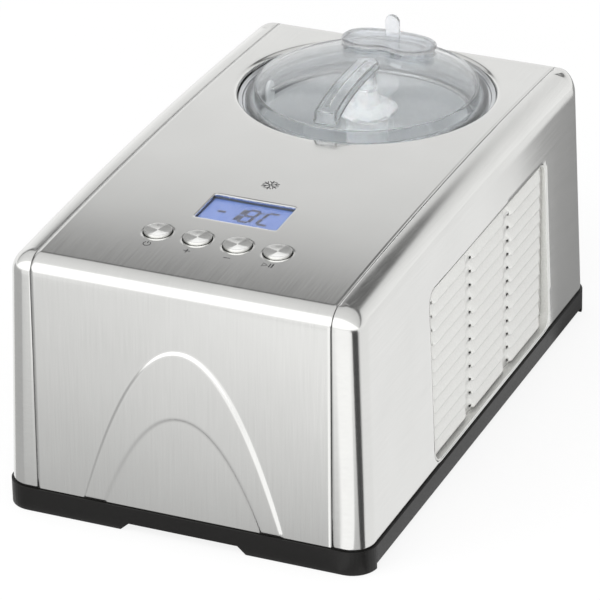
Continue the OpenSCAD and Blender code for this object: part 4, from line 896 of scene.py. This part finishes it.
# %% Buttons
DISH = [(0, -0.5), (2.5, -0.48), (5, -0.38), (7, -0.24), (8.3, -0.08), (8.7, 0), (9.0, 0), (9.35, -0.1),
        (BUTTON_R, -0.4)]
STEM_R, FOOT_T = 3.0, 1.2
BUTTONS = ("button_power", "button_time_up", "button_time_down", "button_start_stop")
for x, node in zip(button_x, BUTTONS):
    low, high = node_box(node)
    top, wide = high[2], (high[0] - low[0]) / 2
    skirt = top - BUTTON_RISE - SHEET - 1.4
    profile = [(r, top + z) for r, z in DISH]
    profile += [(BUTTON_R, skirt), (wide, skirt), (wide, skirt - FOOT_T), (STEM_R, skirt - FOOT_T),
                (STEM_R, low[2]), (0, low[2])]
    cap = revolve(node + "_cap", profile, (x, BUTTON_Y), 96, closed=False)
    place(cap, node, node, "spun_button", spun("spun_" + node, x, BUTTON_Y))

# %% [markdown]
# ## Printed icons and display
#
# Icons are flat shapes a few hundredths of a millimetre above the steel. Each is a list of strips, and
# a strip is a line with a width: a bar, a ring or an arc. The digits on the display are built the same
# way from seven bars.

# %% Icons and digits


def printed(name, strips, centre, height, material, node, slot, thickness=0.04):
    """Joins strips of (path, width, closed or not) into one thin print at height(y).

    A strip is its path moved half the width to each side."""
    points, faces = [], []
    for path, width, *closed in strips:
        path = np.asarray(path, float)
        steps = np.roll(path, -1, 0) - np.roll(path, 1, 0) if closed else np.gradient(path, axis=0)
        along = unit(steps)
        side = np.stack([-along[:, 1], along[:, 0]], -1) * width / 2
        faces.append(grid_faces(2, len(path), False, bool(closed)) + sum(map(len, points)))
        points.append(np.vstack([path + side, path - side]))
    flat = np.vstack(points) + centre
    obj = make_object(name, np.column_stack([flat, height(flat[:, 1]) + thickness]), np.vstack(faces))
    with opened(obj) as data:
        bmesh.ops.recalc_face_normals(data, faces=data.faces)
        if sum(f.normal.z for f in data.faces) < 0:
            bmesh.ops.reverse_faces(data, faces=data.faces)
    return place(give_wall(obj, thickness), "housing", node, slot, material)


def bar_digit(lit, x):
    """Seven bars of one digit, of which the letters a to g in lit are shown."""
    w, h, lean, inset, width = 8.0, 18.0, 0.12, 0.07, 2.6
    ends = {"a": ((0, h), (w, h)), "b": ((w, h), (w, h / 2)), "c": ((w, h / 2), (w, 0)),
            "d": ((0, 0), (w, 0)), "e": ((0, 0), (0, h / 2)), "f": ((0, h / 2), (0, h)),
            "g": ((0, h / 2), (w, h / 2))}
    strips = []
    for letter in lit:
        bar = np.array(ends[letter], float)
        bar += inset * (bar[::-1] - bar) * (1.0 if letter in "adg" else 1.05)
        bar[:, 0] += x + lean * bar[:, 1] - w / 2
        bar[:, 1] -= h / 2
        strips.append((bar, width))
    return strips


ICON_Y = BUTTON_Y - 17.5
icons = {
    "icon_power": [(arc(2.5, 125, 415, 28), 0.7), (([0, 0.6], [0, 3.2]), 0.7)],
    "icon_more": [(([-2.4, 0], [2.4, 0]), 0.8), (([0, -2.4], [0, -0.4]), 0.8),
                  (([0, 0.4], [0, 2.4]), 0.8)],
    "icon_less": [(([-2.4, 0], [2.4, 0]), 0.8)],
    "icon_run": [(([-3.4, -2.2], [-3.4, 2.2], [0.2, 0.0]), 0.7, True), (([1.8, -2.4], [1.8, 2.4]), 0.9),
                 (([3.7, -2.4], [3.7, 2.4]), 0.9)],
}
for x, (name, strips) in zip(button_x, icons.items()):
    printed(name, strips, (x, ICON_Y), crown_z, print_ink, "front_top_panel", "brushed_sheet")
flake = []
for k in range(6):
    a = math.radians(60 * k + 30)
    arm, beside = np.array([math.cos(a), math.sin(a)]), np.array([-math.sin(a), math.cos(a)])
    flake.append(([arm * 0.6, arm * 6.4], 0.9))
    flake += [([arm * 3.4 + s * beside * 0.5, arm * 5.4 + s * beside * 2.4], 0.7) for s in (-1, 1)]
printed("snow_crystal", flake, (0, DISPLAY_Y + 42), crown_z, print_ink, "front_top_panel",
        "brushed_sheet")

low, high = node_box("display_window")
glass_top, glass_low = high[2] + 1.6, high[2] + 0.9
module_top = glass_low - 0.15
display_centre = np.array([0, DISPLAY_Y])
glass = rounded_rectangle(*(high - low)[:2] / 2, 1.3, 2.0) + display_centre
lens = sweep_outline("display_lens", glass, display_centre, slab(glass_low, glass_top, 0.3))
place(lens, "housing", "display_window", "display_lens")
panel = sweep_outline("lit_panel", glass, display_centre, slab(low[2], module_top, 0.2))
place(panel, "housing", "display_module", "display_glass")
shown = [(([-20.5, 0.2], [-14.5, 0.2]), 2.8), *bar_digit("bc", -9.0), *bar_digit("abcdefg", 1.5),
         (arc(1.1, 0, 345, 28, (9.6, 7.0)), 0.7, True), *bar_digit("adef", 15.5)]
printed("lit_digits", shown, display_centre, lambda y: np.full(len(y), module_top), segment_ink,
        "display_module", "display_glass", 0.05)

# %% [markdown]
# ## Collar, can and bowl
#
# Under the lid a moulded collar lines the round well. The evaporator can hangs below it, and the
# removable bowl stands inside the can, with a wire bail that lies on its rim.

# %% Collar, can and bowl
CAN_TOP, CAN_FLANGE_R, CAN_R = LEDGE_Z - 19.7, THROAT_R + 2.2, 75.1
CAN_FLOOR, BOWL_FLOOR = node_box("evaporator_can")[0][2], node_box("mixing_bowl")[0][2]
METAL_T, BUSH_R, STEP_R = 1.5, 8.2, 88.4
BOWL_R, RIM_R, RIM_Z = 73.0, 77.5, 172.0
TUBE_R, TUBE_TOP, SHAFT_R = 10.5, 140.0, 6.4
PIVOT_Z, LUG_X, LUG_T, LUG_R = 181.0, BOWL_R + 1, 2.2, 6.0
BAIL_R, WIRE_R = BOWL_R - 0.7, 1.5


def turned(name, profile, radii, body, node, slot, turns=180):
    """A profile with rounded corners, turned around the well's axis, finished and parented by place."""
    return place(revolve(name, rounded(profile, radii), (0, WELL_Y), turns), body, node, slot)


collar_low, collar_high = node_box("well_collar")
collar_r = (collar_high[0] - collar_low[0]) / 2
turned("collar", [
    [THROAT_R, CAN_TOP + 0.2], [CAN_FLANGE_R + 1, CAN_TOP + 0.2], [CAN_FLANGE_R + 1, SEAT_Z - 2.4],
    [collar_r, SEAT_Z - 2.4], [collar_r, LEDGE_Z], [STEP_R + 0.8, LEDGE_Z - 0.6],
    [STEP_R, LEDGE_Z - 1.2], [STEP_R, SEAT_Z], [THROAT_R, SEAT_Z]],
    [0.4, 0.4, 0.6, 0.5, 0.8, 0.5, 0.4, 0.5, 1.2],
    "housing", "well_collar", "collar_plastic")
turned("can", [
    [CAN_R, BOWL_FLOOR], [CAN_R, CAN_TOP], [CAN_FLANGE_R, CAN_TOP], [CAN_FLANGE_R, CAN_TOP - METAL_T],
    [CAN_R + METAL_T, CAN_TOP - METAL_T], [CAN_R + METAL_T, CAN_FLOOR], [BUSH_R, CAN_FLOOR],
    [BUSH_R, BOWL_FLOOR]], [2, 0.4, 0.3, 0.3, 1, 2, 0.2, 0.2],
    "housing", "evaporator_can", "can_aluminium", 144)
turned("bowl", [
    [BOWL_R, BOWL_FLOOR + METAL_T], [BOWL_R, RIM_Z], [RIM_R, RIM_Z], [RIM_R, RIM_Z - METAL_T],
    [BOWL_R + METAL_T, RIM_Z - METAL_T], [BOWL_R + METAL_T, BOWL_FLOOR], [TUBE_R - METAL_T, BOWL_FLOOR],
    [TUBE_R - METAL_T, TUBE_TOP - 2], [SHAFT_R, TUBE_TOP - 2], [SHAFT_R, TUBE_TOP], [TUBE_R, TUBE_TOP],
    [TUBE_R, BOWL_FLOOR + METAL_T]], [3, 0.5, 0.6, 0.6, 0.4, 2, 0.3, 0.2, 0.2, 0.2, 0.6, 2],
    "bowl", "mixing_bowl", "bowl_metal")

lug_outline = np.vstack([[LUG_R, RIM_Z - 1], [0, PIVOT_Z] + arc(LUG_R), [-LUG_R, RIM_Z - 1]])
lug_rings = [(None, LUG_X), (-0.3, LUG_X), (0, LUG_X + 0.3), (0, LUG_X + LUG_T - 0.3),
             (-0.3, LUG_X + LUG_T), (None, LUG_X + LUG_T)]
for hand, sign in (("left", -1), ("right", 1)):
    lug = sweep_outline("lug_" + hand, lug_outline, (0, PIVOT_Z - 3), lug_rings,
                        pose=lambda p: np.column_stack([sign * p[:, 2], p[:, 0] + WELL_Y, p[:, 1]]))
    place(lug, "bowl", "mixing_bowl", "bowl_metal")

lie = math.asin((PIVOT_Z - RIM_Z - WIRE_R - 0.1) / BAIL_R)
loop = arc(BAIL_R, steps=91)[1:-1]
wire_end = LUG_X + LUG_T + 0.6
bail_path = np.vstack([
    [wire_end, 0, 0], [BAIL_R + 1.5, 0, 0], [BAIL_R + 0.4, 0.3, 0],
    np.column_stack([loop[:, 0], loop[:, 1] * math.cos(lie), -loop[:, 1] * math.sin(lie)]),
    [-BAIL_R - 0.4, 0.3, 0], [-BAIL_R - 1.5, 0, 0], [-wire_end, 0, 0]]) + [0, WELL_Y, PIVOT_Z]
place(tube_along("bail_wire", bail_path, WIRE_R - 0.02), "bail", "bowl_bail", "bail_wire")

# %% [markdown]
# ## Clear lid
#
# The lid is a shallow dome on a low wall, with a flange that drops into the collar. A kidney-shaped
# filling opening is cut from the dome on a polar grid, and a clear collar stands around it. Dome,
# skirt and collars have their real thickness, so that light bends through them twice.

# %% Lid
LID_R, LID_T = 86.4, 2.2
FLANGE_TOP = SEAT_Z + 2.6
LID_WALL_R, WALL_TOP = LID_R - 6.4, FLANGE_TOP + 8.4
DOME_R, DOME_Z0, DOME_RISE = LID_WALL_R - 2.4, WALL_TOP + 1.8, 11.4
DOME_TOP = DOME_Z0 + DOME_RISE
DOME_POWER = 3.4
TURNS = 216
PORT_TOP, PORT_DEPTH, PORT_WALL, PORT_Y = DOME_TOP + 1.2, 13.0, 1.8, 41.0
PORT_HALF, PORT_FRONT, PORT_BACK, PORT_POWER = 34.0, 16.0, 18.0, 2.6
PORT_DENT, DENT_SPREAD = 5.0, 130.0  # its depth, and how it fades over the square of x
PORT_CENTRE = np.array([0.0, PORT_Y + 2.5])
SKIRT_R, SKIRT_T = THROAT_R - 0.8, 1.7
SLEEVE_Z, SLEEVE_TOP, SLEEVE_R, PIN_R = 194.5, DOME_TOP - 1.0, 7.0, 4.4
KEY_X, KEY_Y, KEY_R = 3.0, 1.5, 0.4


def dome_place(flat):
    """A point of the dome over (x, y): its height falls with the distance to a power."""
    r = np.minimum(np.linalg.norm(flat, axis=-1, keepdims=True), DOME_R)
    return np.concatenate([flat, DOME_Z0 + DOME_RISE * (1 - (r / DOME_R)**DOME_POWER)], -1)


def port_outline(grow):
    """An ellipse squared up by a power, with a dent in its front, around the well's centre."""
    t = np.linspace(0, 2 * np.pi, 144, endpoint=False)
    c, s = np.cos(t), np.sin(t)
    x = (PORT_HALF + grow) * np.sign(c) * np.abs(c)**(2 / PORT_POWER)
    y = (np.where(s < 0, PORT_FRONT, PORT_BACK) + grow) * np.sign(s) * np.abs(s)**(2 / PORT_POWER)
    return np.stack([x, PORT_Y + y + np.where(s < 0, PORT_DENT * np.exp(-x * x / DENT_SPREAD), 0)], -1)


outside = rounded([[LID_R, SEAT_Z + 0.1], [LID_R, FLANGE_TOP], [LID_WALL_R, FLANGE_TOP],
                   [LID_WALL_R, WALL_TOP], [LID_WALL_R - 0.7, WALL_TOP + 1.2], [DOME_R, DOME_Z0]],
                  [0.3, 0.5, 0.4, 0.8, 0.8, 0.3], closed=False)
radii = np.linspace(DOME_R, 0.6, 76)[1:]
outside = np.vstack([outside, dome_place(np.column_stack([radii, 0 * radii]))[:, [0, 2]]])
points = np.vstack([turn_profile(outside, TURNS).reshape(-1, 3), [[0, 0, DOME_TOP]]])
last = (len(outside) - 1) * TURNS + np.arange(TURNS)
hub = np.stack([last, np.roll(last, -1), np.full(TURNS, len(outside) * TURNS)], -1)
dome = Sheet(points, grid_faces(len(outside), TURNS, False, True), [0, 1], (0, 0, -1), dome_place)
dome.cut(PORT_CENTRE, port_outline(0.05) - PORT_CENTRE)
shell = walled("lid_shell", dome.points + [0, WELL_Y, 0], dome.faces.tolist() + hub.tolist(), 40, LID_T,
               outwards=True)
place(shell, "lid", "lid_dome", "lid_clear")

turned("lid_skirt", [
    [SKIRT_R, SEAT_Z - 5.6], [SKIRT_R, SEAT_Z + 0.1], [LID_R - 0.3, SEAT_Z + 0.1],
    [LID_R - 0.3, SEAT_Z + 0.4], [SKIRT_R - SKIRT_T, SEAT_Z + 1.7],
    [SKIRT_R - SKIRT_T, SEAT_Z - 5.6]], [0.5, 0.2, 0.1, 0.1, 0.6, 0.5],
    "lid", "lid_dome", "lid_clear")
well = np.array([0, WELL_Y])
neck_low = PORT_TOP - PORT_DEPTH
collar_ring = sweep_outline("filling_collar", port_outline(0) + well, PORT_CENTRE + well, [
    (-0.4, neck_low), (0, neck_low + 0.4), (0, PORT_TOP - 0.5), (-0.5, PORT_TOP), (-1.3, PORT_TOP),
    (-PORT_WALL, PORT_TOP - 0.5), (-PORT_WALL, neck_low + 0.4),
    (0.4 - PORT_WALL, neck_low)], closed=True)
sleeve = revolve("pin_sleeve", [[SLEEVE_R, SLEEVE_Z], [SLEEVE_R, SLEEVE_TOP], [PIN_R, SLEEVE_TOP],
                                [PIN_R, SLEEVE_Z]], (0, WELL_Y), 72)
key_centre = well - [0, LID_R - 0.9]
key = sweep_outline("flange_key", rounded_rectangle(KEY_X, KEY_Y, KEY_R) + key_centre, key_centre, [
    (None, SEAT_Z + 0.1), (0, SEAT_Z + 0.1), (0, FLANGE_TOP - 0.1), (None, FLANGE_TOP - 0.1)])
for piece in (collar_ring, sleeve, key):
    place(piece, "lid", "lid_dome", "lid_clear")

# %% [markdown]
# ## Handle and filling cap
#
# The handle is a hollow bridge from the middle of the lid to its front edge. Its rings follow one plan
# outline and shrink towards the centre line, and each ring takes its height from the side view.

# %% Handle and cap
HANDLE_FRONT, HUB_R, HANDLE_HALF, HANDLE_T = -(DOME_R - 0.5), 9.5, 9.0, 1.8
HUB_TOP = DOME_TOP + 4.8
HANDLE_CORNER, HANDLE_ROUND, DRAFT, SPINE_END = 2.5, 1.6, 0.9, 8.5
side_y = HANDLE_FRONT * np.array([1.0, 0.75, 0.45, 0.2, 0.0])
side_z = np.array([DOME_Z0 + 9.0, DOME_Z0 + 14.0, HUB_TOP + 0.4, HUB_TOP + 0.8, HUB_TOP])
bow = np.polynomial.Polynomial.fit(side_y, side_z, 3)

# The plan: a half circle at the hub, two long sides that spread at it, and a front with round corners.
run = np.linspace(0, HANDLE_FRONT + HANDLE_CORNER, 70)[1:]
left = np.stack([-HANDLE_HALF - 0.5 * np.exp(run / 6), run], -1)
bend = np.radians(np.linspace(0, 90, 8))[1:]
corner = np.stack([-(HANDLE_HALF - HANDLE_CORNER + HANDLE_CORNER * np.cos(bend)),
                   HANDLE_FRONT + HANDLE_CORNER - HANDLE_CORNER * np.sin(bend)], -1)
front_x = np.linspace(-1, 1, 15)[1:-1] * (HANDLE_HALF - HANDLE_CORNER)
front = np.stack([front_x, np.full(len(front_x), HANDLE_FRONT)], -1)
plan = np.vstack([arc(HUB_R, steps=41), left, corner, front,
                  corner[::-1] * [-1, 1], left[::-1] * [-1, 1]])
spine = np.column_stack([np.zeros(len(plan)), np.clip(plan[:, 1], HANDLE_FRONT + SPINE_END, 0)])
away = plan - spine
# Rings climb the wall, turn over its rounded top edge and close on the centre line.
shrink = np.concatenate([[-0.3, -0.3], np.linspace(0.5, DRAFT, 7),
                         DRAFT + HANDLE_ROUND * (1 - np.cos(ROUND)),
                         np.linspace(DRAFT + HANDLE_ROUND, 8.9, 8)[1:]])
fall = np.concatenate([HANDLE_ROUND * (1 - np.sin(ROUND)), np.zeros(7)])
wall_share = np.concatenate([[0, 0.13, 0.17], np.linspace(0.25, 1, 6)])
rings = []
for k, inset in enumerate(shrink):
    ring = spine + away * np.clip(1 - inset / np.linalg.norm(away, axis=1), 0, 1)[:, None]
    top = np.minimum(bow(ring[:, 1]), HUB_TOP + 0.75) - 0.25 * (ring[:, 0] / HANDLE_HALF)**2
    foot = dome_place(ring)[:, 2] - 0.1
    if k < len(wall_share):
        z = foot + (top - HANDLE_ROUND - foot) * wall_share[k]
    else:
        z = top - fall[k - len(wall_share)]
    rings.append(np.column_stack([ring + well, z]))
handle = ring_object("handle_shell", rings, angle=45)
place(give_wall(handle, HANDLE_T), "lid", "lid_handle", "handle_clear")

CAP_LOW, CAP_TOP, CAP_OVER = PORT_TOP + 0.1, PORT_TOP + 2.2, 1.2
PLUG_OUT, PLUG_IN, PLUG_LOW = -PORT_WALL - 1.55, -PORT_WALL - 1.9, PORT_TOP - 5
TAB_HALF, TAB_T, TAB_TOP, TAB_Y = 5.3, 2.4, CAP_TOP + 17.0, WELL_Y + PORT_Y + 8
cap_plate = sweep_outline("cap_plate", port_outline(CAP_OVER) + well, PORT_CENTRE + well, [
    (None, CAP_LOW), (-9, CAP_LOW), (PLUG_IN, CAP_LOW), (PLUG_IN, PLUG_LOW), (PLUG_OUT, PLUG_LOW),
    (PLUG_OUT, CAP_LOW), (-CAP_OVER, CAP_LOW), (-0.2, CAP_LOW), (0, PORT_TOP + 0.3),
    (0, CAP_TOP - 0.7), (-0.2, CAP_TOP - 0.2), (-0.8, CAP_TOP), (-9, CAP_TOP), (None, CAP_TOP)])
tab_outline = np.vstack([[TAB_HALF, CAP_TOP - 0.3], [0, TAB_TOP - TAB_HALF] + arc(TAB_HALF),
                         [-TAB_HALF, CAP_TOP - 0.3]])
tab_edge = [(None, 0), (-0.6, 0), (-0.15, 0.2), (0, 0.6)]
tab_rings = ([(grow, z - TAB_T / 2) for grow, z in tab_edge]
             + [(grow, TAB_T / 2 - z) for grow, z in tab_edge[::-1]])
cap_tab = sweep_outline("cap_tab", tab_outline, (0, CAP_TOP + 9), tab_rings,
                        pose=lambda p: np.column_stack([p[:, 0], p[:, 2] + TAB_Y, p[:, 1]]))
for piece in (cap_plate, cap_tab):
    place(piece, "port_cap", "port_cap", "cap_clear")

clear_finishes = [FINISH[slot] for slot in CLEAR_SLOTS]
for obj in bpy.context.scene.objects:
    if obj.type == "MESH" and obj.data.materials and obj.data.materials[0] in clear_finishes:
        obj.visible_shadow = False

# %% [markdown]
# ## What is inside
#
# Parts behind the sheets keep their CAD shapes and take the finish of their material slot.

# %% Inside finishes
slot_of = {node: m["slot"] for m in frame["record"]["materials"] for node in m.get("nodes", [])}
for node, obj in NODES.items():
    obj.data.materials.clear()
    obj.data.materials.append(FINISH.get(slot_of.get(node), FINISH["grey_plastic"]))

# %% [markdown]
# ## Stage and light
#
# The machine stands on a plain pale floor in a white studio. What matters for steel is what it
# mirrors: a bright room with one dark strip high behind the machine, dark and white cards on the table
# around it, and a painted shadow of the machine on the table in front. The camera sees plain white,
# and mirror rays see that room.

# %% Stage and light
WHITE = (1, 1, 1, 1)
HIDDEN_FROM = ("visible_camera", "visible_diffuse", "visible_transmission", "visible_shadow")
FLOOR_HALF = 6000.0
FLOOR_GLOW, FLOOR_SEEN = 1.02, 0.82  # the floor's glow, and its share for rays from the camera
# The front shade is a painted shadow of the machine on the table: its place, size and glow levels.
SHADE_Y, SHADE_Z, SHADE_DEPTH, SHADE_HALF = -215.0, 0.9, 400.0, 900.0
SHADE_DARK, SHADE_LEFT, SHADE_RIGHT = 0.52, 0.86, 1.3  # levels near the machine and further out
AMBIENT = 0.85


def straight_rays(tree):
    """The Light Path node, and 1 for rays straight from the camera or through clear plastic."""
    rays = add_node(tree, "LightPath")
    return rays, add_node(tree, "Math", rays.outputs["Is Camera Ray"],
                          rays.outputs["Is Transmission Ray"], operation="MAXIMUM")


def rectangle(name, half_x, low_y, high_y, z):
    """A flat rectangle across the table, in millimetres."""
    return make_object(name, [[-half_x, low_y, z], [half_x, low_y, z], [half_x, high_y, z],
                              [-half_x, high_y, z]], [[0, 1, 2, 3]])


def mirror_only(panel, level):
    """Makes a panel that glows at a level and that only mirror rays see."""
    material, tree, shader = new_material(panel.name + "_board", "#000000", Roughness=1.0,
                                          Emission_Color=WHITE, Emission_Strength=level)
    panel.data.materials.append(material)
    for way in HIDDEN_FROM:
        setattr(panel, way, False)
    return tree, shader


floor = rectangle("floor", FLOOR_HALF, -FLOOR_HALF, FLOOR_HALF, 0)
floor_material, tree, shader = new_material("pale_floor", "#f4f4f4", Roughness=0.9,
                                            Specular_IOR_Level=0.0)
tint(tree, shader, object_pattern(tree, (400, 400, 400), Detail=1.0), "#f3f3f3", "#f5f5f5")
rays, straight = straight_rays(tree)
glow = add_node(tree, "Emission", Color=WHITE, Strength=FLOOR_GLOW)
partly = add_node(tree, "Math", straight, FLOOR_SEEN, operation="MULTIPLY")
share = add_node(tree, "Math", partly, rays.outputs["Is Glossy Ray"], operation="MAXIMUM")
blend = add_node(tree, "MixShader", share, shader, glow)
output = next(n for n in tree.nodes if n.type == "OUTPUT_MATERIAL")
tree.links.new(blend.outputs[0], output.inputs["Surface"])
floor.data.materials.append(floor_material)

# A card is a wedge on the table from a corner between two bearings: 0 is the front and 90 the right.
CARD_REACH, CARD_Z = 2500.0, 1.2
for name, corner, bearings, level in (
        ("white_card", (112.0, -215.0), (-21, 44), 1.25),
        ("black_card", (131.0, -205.0), (52, 82), 0.05),
        ("left_card", (-112.0, -216.5), (-110, -50), 0.5),
        ("rear_card", (130.0, 133.0), (156, 215), 0.34)):
    turn = np.radians(np.linspace(*bearings, 6))
    wedge = np.vstack([[corner], corner + CARD_REACH * np.stack([np.sin(turn), -np.cos(turn)], -1)])
    points = np.column_stack([wedge, np.full(len(wedge), CARD_Z)])
    mirror_only(make_object(name, points, [list(range(len(wedge)))]), level)

# The table in front is darkest near the machine, and further out it brightens, more so at the right.
# It is a painted shadow: a glowing sheet that only mirror rays see, dimmest where the machine shades
# the table.
painted_front_shadow = rectangle("painted_front_shadow", SHADE_HALF, SHADE_Y - SHADE_DEPTH, SHADE_Y, SHADE_Z)
tree, shader = mirror_only(painted_front_shadow, 1.0)
place_on = add_node(tree, "SeparateXYZ", add_node(tree, "TexCoord").outputs["Object"])
outer = add_node(tree, "MapRange", place_on.outputs["X"], -0.3, 0.1, SHADE_LEFT - SHADE_DARK,
                 SHADE_RIGHT - SHADE_DARK)
far = add_node(tree, "MapRange", place_on.outputs["Y"], -0.2, -0.56, 0.0, 1.0)
level_here = add_node(tree, "Math", outer, far, SHADE_DARK, operation="MULTIPLY_ADD")
tree.links.new(level_here.outputs[0], shader.inputs["Emission Strength"])


def area_light(name, size, power, spot, aim):
    """A soft square panel of size metres, power watts, pointed from a spot at an aim."""
    data = bpy.data.lights.new(name, "AREA")
    data.size = size
    data.energy = power
    lamp = add_object(name, data)
    lamp.location = spot
    lamp.visible_glossy = False
    lamp.rotation_euler = (Vector(aim) - Vector(spot)).to_track_quat("-Z", "Y").to_euler()


# The room's brightness over the angle in the plane across the front: 0 is ahead, 180 is behind.
STOPS = [(0, 1.2), (6, 1.6), (54, 1.6), (60, 1.0), (110, 0.85), (134, 0.75), (137, 0.14), (145, 0.14),
         (147, 0.88), (150, 0.9), (158, 1.0), (180, 1.1)]
BRIGHTEST = 1.6
world = bpy.data.worlds.new("studio")
bpy.context.scene.world = world
world.use_nodes = True
tree = world.node_tree
tree.nodes.clear()
way = add_node(tree, "SeparateXYZ", add_node(tree, "TexCoord").outputs["Generated"])
ahead = add_node(tree, "Math", way.outputs["Y"], -1.0, operation="MULTIPLY")
lifted = add_node(tree, "Math", way.outputs["Z"], ahead, operation="ARCTAN2")
half_turns = add_node(tree, "Math", lifted, math.pi, operation="DIVIDE")
ramp = add_node(tree, "ValToRGB", half_turns)
stops = ramp.color_ramp.elements
stops[0].position, stops[1].position = 0.0, 1.0
for degrees, level in STOPS:
    stop = {0: stops[0], 180: stops[len(stops) - 1]}.get(degrees) or stops.new(degrees / 180)
    stop.color = (*[level / BRIGHTEST] * 3, 1)
rays, straight = straight_rays(tree)
mirrored = add_node(tree, "Background", Color=ramp, Strength=BRIGHTEST)
ambient = add_node(tree, "Background", Color=WHITE, Strength=AMBIENT)
plain = add_node(tree, "Background", Color=WHITE, Strength=1.0)
glossy = add_node(tree, "MixShader", rays.outputs["Is Glossy Ray"], ambient, mirrored)
add_node(tree, "OutputWorld", add_node(tree, "MixShader", straight, glossy, plain))
area_light("key", 1.6, 22, (-1.2, -1.6, 2.2), (0, 0, 0.1))
area_light("fill", 1.2, 24, (1.0, -2.2, 0.9), (0.1, 0, 0.08))
